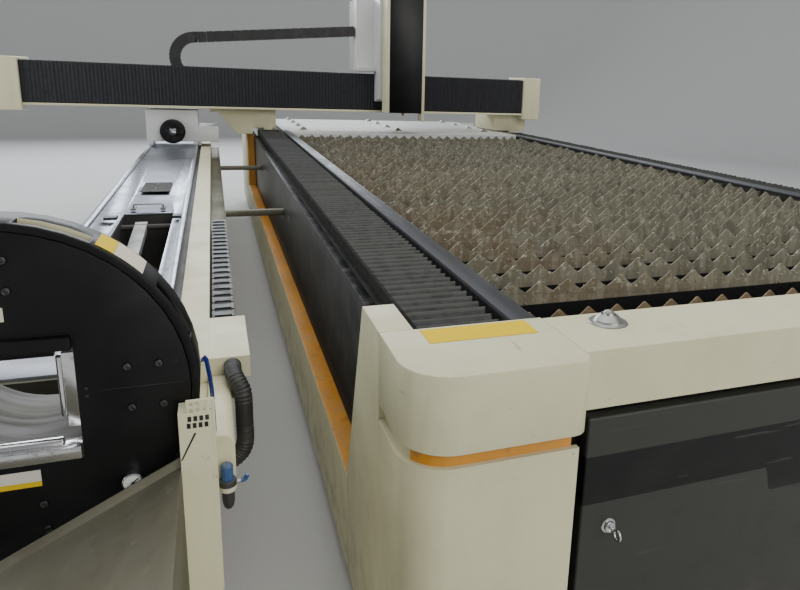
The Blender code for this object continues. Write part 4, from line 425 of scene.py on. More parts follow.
def slat_steel(name, base, bright, slag, shine):
    """Scorched slat plate: painted shade, near-black, on the lower part, rust-brown at the left, slag and
    bright spatter above.
    """
    look = Look(name, base, 0.55, shine, slot="slat_steel")
    rise = look.z.rise(BED_TOP - 0.070, BED_TOP - 0.012)
    scorch = look.noise(10.0, 6.0, stretch=(1.0, 1.0, 0.6)).rise(0.38, 0.70)
    look.paint(scorch, (0.078, 0.072, 0.050), 0.60)
    rust = look.x.rise(1.35, 0.45) * look.noise(3.0, 4.0, shift=6.0).rise(0.35, 0.60)
    look.paint(rust, (0.190, 0.130, 0.074), 0.60)
    look.paint(look.y.rise(2.2, 4.6), (0.060, 0.058, 0.050), 0.35)
    runs = look.noise(34.0, 5.0, stretch=(1.6, 1.6, 0.35), shift=4.0).rise(0.45, 0.66)
    look.paint(runs, slag, 0.65)
    glint = look.noise(70.0, 4.0, shift=8.0).rise(0.56, 0.68)
    look.paint(glint * (rise * 0.85 + 0.15), bright, 0.85)
    # Painted shade: near-black on the lower part of every plate, for the dark space under the slats.
    painted_shade_below = look.z.rise(BED_TOP - 0.0610, BED_TOP - 0.0635)
    look.paint(painted_shade_below, (0.0045, 0.0045, 0.0050))
    look.rougher(painted_shade_below, 0.4)
    crust = look.noise(90.0, 5.0, shift=2.0)
    look.rougher(crust, 0.34).rougher(glint, -0.18)
    look.raise_by(crust * (rise * 0.8 + 0.2), 0.0022)
    look.raise_by(look.noise(240.0, 3.0), 0.0004)
    return look.done()


def galvanised(name="galvanised_sheet", tint=(0.225, 0.220, 0.168), stain_tint=(0.115, 0.105, 0.066)):
    look = Look(name, tint, 0.44, 0.80, slot="galvanised_sheet")
    spangle = look.cells(46.0)
    broad = look.noise(3.0, 5.0, warp=0.7)
    look.paint(broad.rise(0.40, 0.72), stain_tint, 0.60)
    look.paint(look.noise(11.0, 6.0, shift=4.0).rise(0.48, 0.70), (0.20, 0.185, 0.13), 0.60)
    look.paint(look.noise(38.0, 4.0, shift=6.0).rise(0.62, 0.74), (0.34, 0.34, 0.29), 0.35)
    scratch = look.noise(60.0, 3.0, stretch=(0.12, 1.4, 0.12), shift=9.0).rise(0.63, 0.70)
    look.paint(scratch, (0.34, 0.34, 0.30), 0.18)
    look.rougher(broad, 0.28).rougher(spangle, 0.10)
    look.raise_by(look.noise(2.2, 2.0), 0.003)
    return look.done()


def white_paint():
    look = Look("white_paint", (0.60, 0.605, 0.60), 0.34, slot="white_paint")
    look.paint(look.noise(2.2, 4.0).rise(0.4, 0.75), (0.50, 0.49, 0.46), 0.5)
    look.paint(look.noise(30.0, 3.0, stretch=(0.2, 1.0, 1.0)).rise(0.66, 0.74), (0.30, 0.29, 0.27), 0.4)
    specks(look, (0.10, 0.09, 0.08), 40.0, 0.13, 0.7)
    dust(look, (0.40, 0.38, 0.33), 0.45, 7.0)
    look.raise_by(look.noise(400.0, 2.0), 0.00005)
    return look.done()


def bright_metal(name, tint, rough, slot):
    look = Look(name, tint, rough, 1.0, slot=slot)
    stain = look.noise(60.0, 4.0).rise(0.5, 0.75)
    look.paint(stain, tuple(0.45 * c for c in tint), 0.5)
    look.rougher(stain, 0.20).rougher(look.noise(300.0, 2.0), 0.10)
    look.raise_by(look.noise(500.0, 2.0), 0.00003)
    return look.done()


def plastic(name, tint, rough, slot, worn=(0.09, 0.088, 0.082)):
    look = Look(name, tint, rough, slot=slot)
    patch = look.noise(30.0, 4.0).rise(0.45, 0.75)
    look.paint(patch, worn, 0.35)
    dust(look, (0.20, 0.19, 0.17), 0.45, 16.0)
    look.rougher(patch, 0.18)
    look.raise_by(look.noise(260.0, 3.0), 0.00010)
    return look.done()


def label(name, colour, second, split_low, split_high):
    """A plain sticker of two colour fields, the second between two heights."""
    look = Look(name, colour, 0.60, slot="white_paint", specular=0.15)
    look.paint(look.z.within(split_low, split_high, 0.0003), second)
    look.paint(look.noise(60.0, 4.0).rise(0.58, 0.78), DIRT, 0.25)
    look.rougher(look.noise(30.0, 3.0), 0.2)
    return look.done()


MAT = {
    "cream": cream_paint(),
    "orange": orange_paint(),
    "door": door_paint(),
    "panel": panel_paint(),
    "black": black_paint(),
    "gloss_black": black_paint("column_black", 0.20),
    "frame": frame_paint(),
    "side_bellows": bellows_cloth(
        "side_bellows_cloth", "Y", (0.023, 0.025, 0.018), 1.0, high("bellows_left").z),
    "beam_bellows": bellows_cloth("beam_bellows_cloth", "X", (0.0042, 0.0046, 0.0085), 0.3),
    "steel": machined_steel(),
    "bed_steel": machined_steel("tube_bed_steel", (0.50, 0.53, 0.60), 0.24),
    "slat": slat_steel(
        "slat_plate", (0.215, 0.206, 0.148), (0.47, 0.455, 0.370), (0.310, 0.297, 0.225), 0.20),
    "front_slat": slat_steel(
        "front_slat_plate", (0.260, 0.190, 0.112), (0.34, 0.27, 0.17), (0.200, 0.150, 0.090), 0.25),
    "slag": slat_steel("slag_beads", (0.360, 0.345, 0.265), (0.62, 0.61, 0.51), (0.250, 0.236, 0.176), 0.25),
    "galvanised": galvanised(),
    "galvanised_light": galvanised("galvanised_light", (0.42, 0.43, 0.41), (0.24, 0.24, 0.21)),
    "strip_steel": strip_steel(),
    "white": white_paint(),
    "chrome": bright_metal("chrome", (0.66, 0.66, 0.67), 0.12, "chrome"),
    "bolt": bright_metal("blackened_bolt", (0.10, 0.10, 0.105), 0.30, "chrome"),
    "zinc": bright_metal("zinc_bolt", (0.36, 0.36, 0.34), 0.30, "chrome"),
    "copper": bright_metal("copper", (0.60, 0.30, 0.17), 0.26, "machined_steel"),
    "plastic": plastic("black_plastic", (0.016, 0.016, 0.017), 0.45, "black_plastic"),
    "chain": plastic("chain_plastic", (0.007, 0.007, 0.008), 0.50, "black_plastic", (0.025, 0.024, 0.022)),
    "blue": plastic("blue_plastic", (0.012, 0.075, 0.235), 0.30, "blue_plastic", (0.05, 0.13, 0.30)),
    "blue_hose": plastic("blue_hose", (0.010, 0.022, 0.200), 0.26, "blue_plastic", (0.03, 0.05, 0.25)),
    "dial": label("gauge_dial", (0.78, 0.78, 0.75), (0.10, 0.10, 0.10), 0.6773, 0.6777),
    "yellow": label("yellow_strip", (0.800, 0.560, 0.0), (0.700, 0.480, 0.0), 0.0, 0.01),
    "sticker": label("two_tone_sticker", (0.66, 0.64, 0.56), (0.68, 0.47, 0.01), 0.0, 0.6955),
    "bore": bore_paint(),
    "pale": label("pale_patch", (0.68, 0.65, 0.52), (0.66, 0.46, 0.02), 0.0, 0.01),
    "dark": plastic("dark_void", (0.006, 0.006, 0.006), 0.75, "black_plastic"),
}

# Nodes with a hole through a flat face: their triangles are kept
PIERCED = ("chuck_face", "chuck_housing", "tube_top_plate", "chip_guard", "feed_chuck", "beam_cover")

# Mesh helpers


def mesh_object(name, bm):
    """Put a mesh into the scene as an object of its own."""
    mesh = bpy.data.meshes.new(name)
    bm.to_mesh(mesh)
    bm.free()
    obj = bpy.data.objects.new(name, mesh)
    bpy.context.scene.collection.objects.link(obj)
    return obj


def piece(name, bm, look, body, replaces=(), smooth=None, bevel=0.0, steps=2, lift=True):
    """Make a piece from a mesh written in datum coordinates, and let it ride on a body."""
    bmesh.ops.recalc_face_normals(bm, faces=bm.faces)
    if lift:
        bmesh.ops.translate(bm, verts=bm.verts, vec=DATUM)
    obj = mesh_object(name, bm)
    looks = look if isinstance(look, (list, tuple)) else [look]
    for one in looks:
        obj.data.materials.append(MAT[one])
    if bevel:
        soften_edges(obj, bevel, steps)
    elif smooth is not None:
        obj.data.shade_smooth()
        obj.data.set_sharp_from_angle(angle=math.radians(smooth))
    if body:
        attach(obj, body)
    if replaces:
        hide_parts(*replaces)
    return obj


def blocks(name, corners, look, body, **finish):
    """A piece of plain blocks, each given by its lowest and its highest corner."""
    bm = bmesh.new()
    for lowest, highest in corners:
        add_box(bm, lowest, highest)
    return piece(name, bm, look, body, **finish)


def turned(name, profile, centre, axis, segments, look, body, **finish):
    """A piece turned about an axis from its profile."""
    bm = bmesh.new()
    add_lathe(bm, profile, centre, axis, segments)
    return piece(name, bm, look, body, **finish)


def soften_edges(obj, width, steps):
    """Round an object's edges with a real bevel and keep its flat faces flat."""
    edge = obj.modifiers.new("edges", "BEVEL")
    edge.width = width
    edge.segments = steps
    edge.limit_method = "ANGLE"
    edge.angle_limit = math.radians(28)
    edge.harden_normals = True
    edge.miter_outer = "MITER_ARC"
    obj.data.shade_smooth()
    settle(obj)


def settle(obj):
    """Replace an object's mesh by what its modifiers make of it."""
    bpy.context.view_layer.update()
    graph = bpy.context.evaluated_depsgraph_get()
    made = bpy.data.meshes.new_from_object(obj.evaluated_get(graph))
    obj.modifiers.clear()
    obj.data = made


def cad_mesh(node):
    """A node's own mesh, joined up again, and flat faces made whole where no hole pierces them."""
    bm = bmesh.new()
    bm.from_mesh(NODES[node].data)
    bmesh.ops.remove_doubles(bm, verts=bm.verts, dist=0.00002)
    if node not in PIERCED:
        flat = math.radians(0.6)
        bmesh.ops.dissolve_limit(bm, angle_limit=flat, verts=bm.verts, edges=bm.edges)
    return bm


def refine(node, look, bevel, steps=2, choose=None):
    """Stand a copy with rounded edges in a node's place. choose gives a face its material index."""
    bm = cad_mesh(node)
    if choose:
        for face in bm.faces:
            face.material_index = choose(face.calc_center_median() - DATUM, face.normal)
    body = NODES[node]["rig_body"]
    return piece(node + "_finish", bm, look, body, (node,), bevel=bevel, steps=steps, lift=False)


def dress(node, look):
    """Give a node that keeps its own shape a better material."""
    NODES[node].data.materials.clear()
    NODES[node].data.materials.append(MAT[look])


def add_box(bm, lowest, highest):
    made = bmesh.ops.create_cube(bm, size=1.0)["verts"]
    size = [highest[i] - lowest[i] for i in range(3)]
    middle = [(highest[i] + lowest[i]) / 2 for i in range(3)]
    bmesh.ops.scale(bm, verts=made, vec=size)
    bmesh.ops.translate(bm, verts=made, vec=middle)
    return made


def add_prism(bm, outline, axis, start, end):
    """A prism across X, Y or Z from an outline in the other two coordinates."""
    def point(a, b, along):
        return {"X": (along, a, b), "Y": (a, along, b), "Z": (a, b, along)}[axis]

    near = [bm.verts.new(point(a, b, start)) for a, b in outline]
    far = [bm.verts.new(point(a, b, end)) for a, b in outline]
    bm.faces.new(near)
    bm.faces.new(list(reversed(far)))
    count = len(outline)
    for i in range(count):
        j = (i + 1) % count
        bm.faces.new((near[j], near[i], far[i], far[j]))
    return near + far


def loft(bm, rings):
    """Skin a row of equal rings and close both ends."""
    count = len(rings[0])
    for first, second in zip(rings, rings[1:]):
        for i in range(count):
            j = (i + 1) % count
            bm.faces.new((first[i], first[j], second[j], second[i]))
    bm.faces.new(rings[0])
    bm.faces.new(list(reversed(rings[-1])))


def add_lathe(bm, profile, centre, axis, segments):
    """Turn a profile of (radius, along) about an axis through centre."""
    def point(radius, along, angle):
        a, b = radius * math.cos(angle), radius * math.sin(angle)
        return Vector(centre) + Vector({"X": (along, a, b), "Y": (a, along, b), "Z": (a, b, along)}[axis])

    rings = []
    made = []
    for radius, along in profile:
        count = 1 if radius == 0 else segments
        ring = [bm.verts.new(point(radius, along, 2 * math.pi * i / segments)) for i in range(count)]
        rings.append(ring)
        made += ring
    pairs = list(zip(rings, rings[1:]))
    if profile[0][0] != 0 and profile[-1][0] != 0:
        pairs.append((rings[-1], rings[0]))
    for first, second in pairs:
        for i in range(segments):
            j = (i + 1) % segments
            corners = [first[i % len(first)], first[j % len(first)]]
            corners += [second[j % len(second)], second[i % len(second)]]
            unique = list(dict.fromkeys(corners))
            if len(unique) > 2:
                bm.faces.new(unique)
    return made


def stamp(bm, template, placing):
    """Copy a template's faces into bm with a placing matrix."""
    verts = [bm.verts.new(placing @ v.co) for v in template.verts]
    for face in template.faces:
        made = bm.faces.new([verts[v.index] for v in face.verts])
        made.material_index = face.material_index


def indexed(bm):
    bm.verts.ensure_lookup_table()
    bm.verts.index_update()
    return bm


def socket_bolt(radius, height):
    """A domed bolt head with a hexagon socket, standing on z = 0."""
    bm = bmesh.new()
    hole = radius * 0.48
    profile = [
        (0, -height * 0.25), (radius, -height * 0.25), (radius, height * 0.55),
        (radius * 0.86, height * 0.90), (hole * 1.15, height), (hole, height * 0.96),
        (hole * 0.95, height * 0.30), (0, height * 0.25),
    ]
    add_lathe(bm, profile, (0, 0, 0), "Z", 12)
    return indexed(bm)


def scattered(name, carrier, seed, density, sizes, look, template, body, keep_top):
    """Beads strewn over a carrier's faces with Geometry Nodes: even density, random size and turn."""
    tree = bpy.data.node_groups.new(name + "_strew", "GeometryNodeTree")
    inputs = (
        ("Geometry", "Geometry", None), ("Density", "Float", density), ("Smallest", "Float", sizes[0]),
        ("Largest", "Float", sizes[1]), ("Seed", "Int", seed), ("Bead", "Object", None),
        ("Finish", "Material", None),
    )
    for title, kind, value in inputs:
        made = tree.interface.new_socket(name=title, in_out="INPUT", socket_type="NodeSocket" + kind)
        if value is not None:
            made.default_value = value
    tree.interface.new_socket(name="Geometry", in_out="OUTPUT", socket_type="NodeSocketGeometry")

    def add(kind, inputs=None, **settings):
        return add_node(tree, kind, settings, inputs)

    start = add("NodeGroupInput").outputs
    height = add("ShaderNodeSeparateXYZ", {0: add("GeometryNodeInputPosition").outputs[0]}).outputs[2]
    above = add("FunctionNodeCompare", {0: height, 1: keep_top}, data_type="FLOAT", operation="GREATER_THAN")
    spread = add("GeometryNodeDistributePointsOnFaces", {
        "Mesh": start["Geometry"], "Density": start["Density"], "Seed": start["Seed"],
        "Selection": above.outputs[0],
    })
    smallest_to_largest = {2: start["Smallest"], 3: start["Largest"], "Seed": start["Seed"]}
    scale = add("FunctionNodeRandomValue", smallest_to_largest, data_type="FLOAT")
    any_turn = {1: (2 * math.pi, 2 * math.pi, 2 * math.pi), "Seed": start["Seed"]}
    turn = add("FunctionNodeRandomValue", any_turn, data_type="FLOAT_VECTOR")
    bead = add("GeometryNodeObjectInfo", {"Object": start["Bead"]})
    copies = add("GeometryNodeInstanceOnPoints", {
        "Points": spread.outputs["Points"], "Instance": bead.outputs["Geometry"],
        "Rotation": turn.outputs[0], "Scale": scale.outputs[1],
    })
    real = add("GeometryNodeRealizeInstances", {0: copies.outputs[0]})
    finish = add("GeometryNodeSetMaterial", {"Geometry": real.outputs[0], "Material": start["Finish"]})
    add("NodeGroupOutput", {0: finish.outputs[0]})

    seedling = mesh_object(name + "_template", template)
    host = bpy.data.objects.new(name + "_host", carrier.data.copy())
    bpy.context.scene.collection.objects.link(host)
    modifier = host.modifiers.new("strew", "NODES")
    modifier.node_group = tree
    names = {item.name: item.identifier for item in tree.interface.items_tree if item.in_out == "INPUT"}
    modifier[names["Bead"]] = seedling
    modifier[names["Finish"]] = MAT[look]
    bpy.context.view_layer.update()
    graph = bpy.context.evaluated_depsgraph_get()
    mesh = bpy.data.meshes.new_from_object(host.evaluated_get(graph))
    for spare in (host, seedling):
        bpy.data.objects.remove(spare, do_unlink=True)
    obj = bpy.data.objects.new(name, mesh)
    bpy.context.scene.collection.objects.link(obj)
    if not obj.data.materials:
        obj.data.materials.append(MAT[look])
    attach(obj, body)
    return obj


# Sheet bed: covers


def bed_covers():
    """Skirts with the orange ledge, side panels, caps, posts, strips, rear panel and the hidden frame."""
    ledge = 0.347
    cheek_start = 5.0
    neck_bottom, neck_top, neck_back = 0.6716, 0.7069, 0.19

    def skirt_face(centre, normal):
        on_ledge = normal.z > 0.9 and abs(centre.z - ledge) < 0.003
        reveal = normal.y < -0.9 and centre.y > cheek_start and centre.z > ledge
        return 1 if on_ledge or reveal else 0

    def post_face(centre, normal):
        neck = neck_bottom < centre.z < neck_top and centre.y < neck_back and abs(normal.z) < 0.9
        return 1 if neck and abs(normal.x) < 0.9 else 0

    for side in ("left", "right"):
        refine("side_skirt_" + side, ["cream", "orange"], 0.0035, 2, skirt_face)
        refine("side_panel_" + side, "panel", 0.0012, 1)
        refine("corner_cap_" + side, "cream", 0.0022, 2)
        refine("corner_post_" + side, ["cream", "orange"], 0.0020, 2, post_face)
        refine("edge_strip_" + side, "strip_steel", 0.0010, 1)
    refine("rear_panel", "cream", 0.0015, 1)
    dress("bed_frame", "frame")


def front_beam():
    """The folded cover across the front, made again without its ball units."""
    lowest, highest = low("front_beam"), high("front_beam")
    cover = [(lowest, (highest.x, highest.y, BED_TOP))]
    blocks("front_beam_cover", cover, "cream", "bed", replaces=("front_beam",), bevel=0.0020)


def ball_units():
    """Stepped flange, raised cup with a ring, and a polished ball, at every place of the two carriers."""
    template = bmesh.new()
    flange = [
        (0, SEAT), (0.0394, SEAT), (0.0398, 0.0012), (0.0386, 0.0024), (0.0318, 0.0034), (0.0300, 0.0040),
        (0.0284, 0.0062), (0.0272, 0.0080), (0.0262, 0.0084), (0.0240, 0.0112), (0.0232, 0.0116),
        (0.0205, 0.0146), (0.0196, 0.0150), (0.0176, 0.0172), (0.0158, 0.0180), (0.0143, 0.0174),
        (0.0142, 0.0120), (0, 0.0110),
    ]
    add_lathe(template, flange, (0, 0, 0), "Z", 28)
    crown = high("front_beam").z - BED_TOP - SEAT
    radius = 0.0136
    ball = [(0, crown - 2 * radius)]
    for i in range(1, 10):
        angle = math.pi * i / 10
        ball.append((radius * math.sin(angle), crown - radius - radius * math.cos(angle)))
    ball.append((0, crown))
    add_lathe(template, ball, (0, 0, 0), "Z", 20)
    screw_circle, screw_foot = 0.0352, 0.0028
    for angle in (35, 155, 275):
        turn = math.radians(angle)
        spot = Vector((screw_circle * math.cos(turn), screw_circle * math.sin(turn), screw_foot))
        stamp(template, socket_bolt(0.0024, 0.0016), Matrix.Translation(spot))
    indexed(template)
    for name, rows in (("front_ball_units", BALL_FRONT_ROWS), ("rear_ball_units", BALL_REAR_ROWS)):
        bm = bmesh.new()
        for y in rows:
            for x in BALL_COLUMNS:
                stamp(bm, template, Matrix.Translation((x, y, BED_TOP)))
        piece(name, bm, "zinc", "bed", smooth=35)
    template.free()


def corner_details():
    """Plain yellow strip on the left cap."""
    strip = [((0.075, 0.108, BED_TOP + 0.0003), (0.292, 0.176, BED_TOP + 0.0009))]
    blocks("cap_strip", strip, "yellow", "bed", bevel=SEAT, steps=1)


def doors():
    """Doors with rounded folded edges, a lock plate with its barrel, and the key with its ring."""
    for side in ("left", "right"):
        refine("front_door_" + side, "door", 0.0022, 3)
    refine("door_hinges", "steel", 0.0006, 1)
    lowest, highest = low("door_lock"), high("door_lock")
    centre = Vector(((lowest.x + highest.x) / 2, 0.0, (lowest.z + highest.z) / 2))
    profile = [
        (0, -0.0004), (0.0158, -0.0004), (0.0159, -0.0016), (0.0150, -0.0028), (0.0118, -0.0034),
        (0.0116, -0.0078), (0.0106, -0.0094), (0.0075, -0.0096), (0.0074, -0.0082), (0.0030, -0.0082),
        (0.0028, -0.0096), (0, -0.0096),
    ]
    finish = {"replaces": ("door_lock",), "smooth": 30}
    turned("door_lock_finish", profile, centre, "Y", 32, "chrome", "door_left", **finish)
    refine("lock_key", "chrome", 0.0004, 2)


# Slats


def tooth(start, pitch, root, top, burnt):
    """Outline of one tooth of a plate: uneven flanks and a tip that is burnt away."""
    tip = top - burnt * random.uniform(0.0, 0.0065)
    lean = random.uniform(-0.0022, 0.0022) * burnt
    flat = 0.0022 + burnt * random.uniform(0.0, 0.0035)
    centre = start + pitch / 2 + lean
    dip = root - burnt * random.uniform(0.0, 0.004)
    rise = tip - dip
    return [
        (start + 0.0012, dip),
        (start + pitch * 0.14, dip + rise * 0.24 + burnt * random.uniform(-0.001, 0.001)),
        (start + pitch * 0.31, dip + rise * 0.62 + burnt * random.uniform(-0.0016, 0.0016)),
        (centre - flat, tip - burnt * random.uniform(0, 0.0012)),
        (centre, tip),
        (centre + flat, tip - burnt * random.uniform(0, 0.0012)),
        (start + pitch * 0.69, dip + rise * 0.62 + burnt * random.uniform(-0.0016, 0.0016)),
        (start + pitch * 0.86, dip + rise * 0.24 + burnt * random.uniform(-0.001, 0.001)),
    ]


def slats():
    """Thin toothed plates with uneven burnt tips, each a little different, between two angle sections."""
    lowest, highest = low("slat_grid"), high("slat_grid")
    left, right = SLAT_SIDE, BED_WIDTH - SLAT_SIDE
    pitch = (right - left) / TOOTH_COUNT
    random.seed(11)
    racks = bmesh.new()
    web, inner, toe = 0.2839, 0.3089, 0.3439
    ledge, ledge_depth, rack_top = 0.7035, 0.014, highest.z - 0.0124
    outline = [
        (web, lowest.z), (inner, lowest.z), (inner, ledge - ledge_depth), (toe, ledge - ledge_depth),
        (toe, ledge), (inner, ledge), (inner, rack_top), (web, rack_top),
    ]
    for shape in (outline, [(BED_WIDTH - x, z) for x, z in outline]):
        add_prism(racks, shape, "Y", lowest.y, highest.y)
    piece("slat_racks", racks, "frame", "bed", bevel=0.0008, steps=1)

    plates = bmesh.new()
    front = bmesh.new()
    bottom = 0.7002
    for i in range(SLAT_COUNT):
        bm = front if i == 0 else plates
        near = SLAT_FIRST + SLAT_PITCH * i
        burnt = 0.15 if i == 0 else random.uniform(0.5, 1.0)
        sunk = FRONT_SLAT_DROP if i == 0 else 0.0
        top = BED_TOP - sunk
        root = BED_TOP - TOOTH_DEPTH - sunk
        shove = 0.0 if i == 0 else random.uniform(0.02, 0.98) * pitch
        edge = []
        for k in range(TOOTH_COUNT if i == 0 else TOOTH_COUNT - 1):
            edge += tooth(left + k * pitch + shove, pitch, root, top, burnt)
        shape = [(left - SLAT_END, bottom), (right + SLAT_END, bottom), (right + SLAT_END, root)]
        shape += list(reversed(edge)) + [(left - SLAT_END, root)]
        made = add_prism(bm, shape, "Y", near, near + SLAT_SHEET)
        bend = [random.uniform(-1, 1) for _ in range(4)]
        for vert in made:
            along = (vert.co.x - left) / (right - left)
            wave = sum(bend[n] * math.sin((n + 1) * math.pi * along) / (n + 1) for n in range(4))
            vert.co.y += 0.0022 * wave
    piece("slat_plates", plates, "slat", "bed", ("slat_grid",))
    piece("front_slat", front, "front_slat", "bed")


def slag():
    """Beads and spikes of slag along the upper part of every slat."""
    bead = bmesh.new()
    bmesh.ops.create_icosphere(bead, subdivisions=1, radius=1.0)
    for vert in bead.verts:
        vert.co *= 1.0 + 0.35 * noise.noise(vert.co * 2.3)
    bmesh.ops.scale(bead, verts=bead.verts, vec=(1.0, 0.75, 1.7))
    carrier = bpy.data.objects["slat_plates"]
    obj = scattered("slag_beads", carrier, 5, 1040.0, (0.0012, 0.0038), "slag", bead, "bed", BED_TOP - 0.052)
    ceiling = BED_TOP - 0.0002
    for vert in obj.data.vertices:
        vert.co.z = min(vert.co.z, ceiling)


# Bellows


def pleated(name, rows, section, place_at, look, node):
    """A lofted body: one ring of section points for every row along the bellows."""
    bm = bmesh.new()
    loft(bm, [[bm.verts.new(place_at(along, u, v)) for u, v in section(depth)] for along, depth in rows])
    return piece(name, bm, look, None, (node,))


def fold_rows(start, end, pitch, seed, slanted=False):
    """Places and depths of the folds: 0 at a valley and 1 at a crest, a little uneven."""
    random.seed(seed)
    count = round((end - start) / pitch)
    step = (end - start) / count
    if slanted:
        rows = [(start, 0.30)]
        for i in range(count):
            rows.append((start + (i + 0.22) * step, random.uniform(0.52, 0.60)))
            rows.append((start + (i + 0.88 + random.uniform(-0.02, 0.02)) * step, random.uniform(0.92, 1.0)))
            if i < count - 1:
                rows.append((start + (i + 1.0) * step, random.uniform(0.0, 0.06)))
        rows.append((end, 0.30))
        return rows
    rows = [(start, 0.15)]
    for i in range(count):
        shift = random.uniform(-0.05, 0.05) * step
        crest = random.uniform(0.86, 1.0)
        rows.append((start + (i + 0.44) * step + shift, crest * 0.97))
        rows.append((start + (i + 0.56) * step + shift, crest))
        if i < count - 1:
            rows.append((start + (i + 0.93) * step, random.uniform(0.0, 0.12)))
            rows.append((start + (i + 1.0) * step, random.uniform(0.0, 0.10)))
    rows.append((end, 0.15))
    return rows


def side_bellows(side):
    """Bellows over a guide rail."""
    node = "bellows_" + side
    lowest, highest = low(node), high(node)
    base = lowest.z + SEAT
    crest = highest.z - base - SEAT

    def section(depth):
        tall = 0.010 + (crest - 0.010) * depth
        inset = 0.020 * (1 - depth)
        left, right = lowest.x + inset + SEAT, highest.x - inset - SEAT
        bend, shoulder = 0.005, 0.05
        return [
            (left, 0.0), (left, tall - bend), (left + bend, tall), (left + shoulder, tall),
            (right - shoulder, tall), (right - bend, tall), (right, tall - bend), (right, 0.0),
        ]

    rows = fold_rows(lowest.y + SEAT, highest.y - SEAT, 0.038, 3 if side == "left" else 4, True)

    def place_at(along, u, v):
        return u, along, base + v

    obj = pleated("side_bellows_" + side, rows, section, place_at, "side_bellows", node)
    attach(obj, "bed")
    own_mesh(obj)


def beam_bellows(side):
    """Bellows between an end cap of the beam and the head's carriage."""
    node = "beam_bellows_" + side
    lowest, highest = low(node), high(node)
    back = highest.y - SEAT
    deep = highest.y - lowest.y - 3 * SEAT

    def section(depth):
        out = deep * (0.78 + 0.22 * depth)
        inset = 0.004 * (1 - depth)
        bottom, top = lowest.z + SEAT + inset, highest.z - SEAT - inset
        bend, shoulder = 0.006, 0.08
        return [
            (bottom, 0.0), (bottom, out - bend), (bottom + bend, out), (bottom + shoulder, out),
            (top - shoulder, out), (top - bend, out), (top, out - bend), (top, 0.0),
        ]

    rows = fold_rows(lowest.x + SEAT, highest.x - SEAT, 0.026, 6 if side == "left" else 7)

    def place_at(along, u, v):
        return along, back - v, u

    obj = pleated("gantry_bellows_" + side, rows, section, place_at, "beam_bellows", node)
    spare = max(0.0, (FOLD_FREE * HEAD_STROKE - (highest.x - lowest.x)) / 2) if side == "left" else 0.0
    ends = [(lowest.x + DATUM.x - spare, 0, 0), (highest.x + DATUM.x + spare, 0, 0)]
    if side == "right":
        ends.reverse()
    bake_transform(obj)


# Cable chains


def link_template(length, width, tall):
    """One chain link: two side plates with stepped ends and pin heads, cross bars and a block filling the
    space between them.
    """
    bm = bmesh.new()
    wall = width * 0.11
    proud = 0.0012
    for start in (-width / 2, width / 2 - wall):
        outline = [
            (-length * 0.50, -tall * 0.5), (length * 0.36, -tall * 0.5), (length * 0.50, -tall * 0.36),
            (length * 0.50, tall * 0.36), (length * 0.36, tall * 0.5), (-length * 0.50, tall * 0.5),
        ]
        add_prism(bm, outline, "Y", start, start + wall)
        face = start - proud if start < 0 else start + wall
        disc = [(0, face), (tall * 0.22, face), (tall * 0.22, face + proud), (0, face + proud)]
        add_lathe(bm, disc, (length * 0.16, 0, 0), "Y", 12)
    bar = tall * 0.07
    side = width / 2 - wall
    for level in (-tall * 0.5, tall * 0.5 - bar):
        add_box(bm, (-length * 0.30, -side, level), (length * 0.18, side, level + bar))
    inner = width / 2 - wall * 1.2
    add_box(bm, (-length * 0.50, -inner, -tall * 0.44), (length * 0.50, inner, tall * 0.44))
    return indexed(bm)


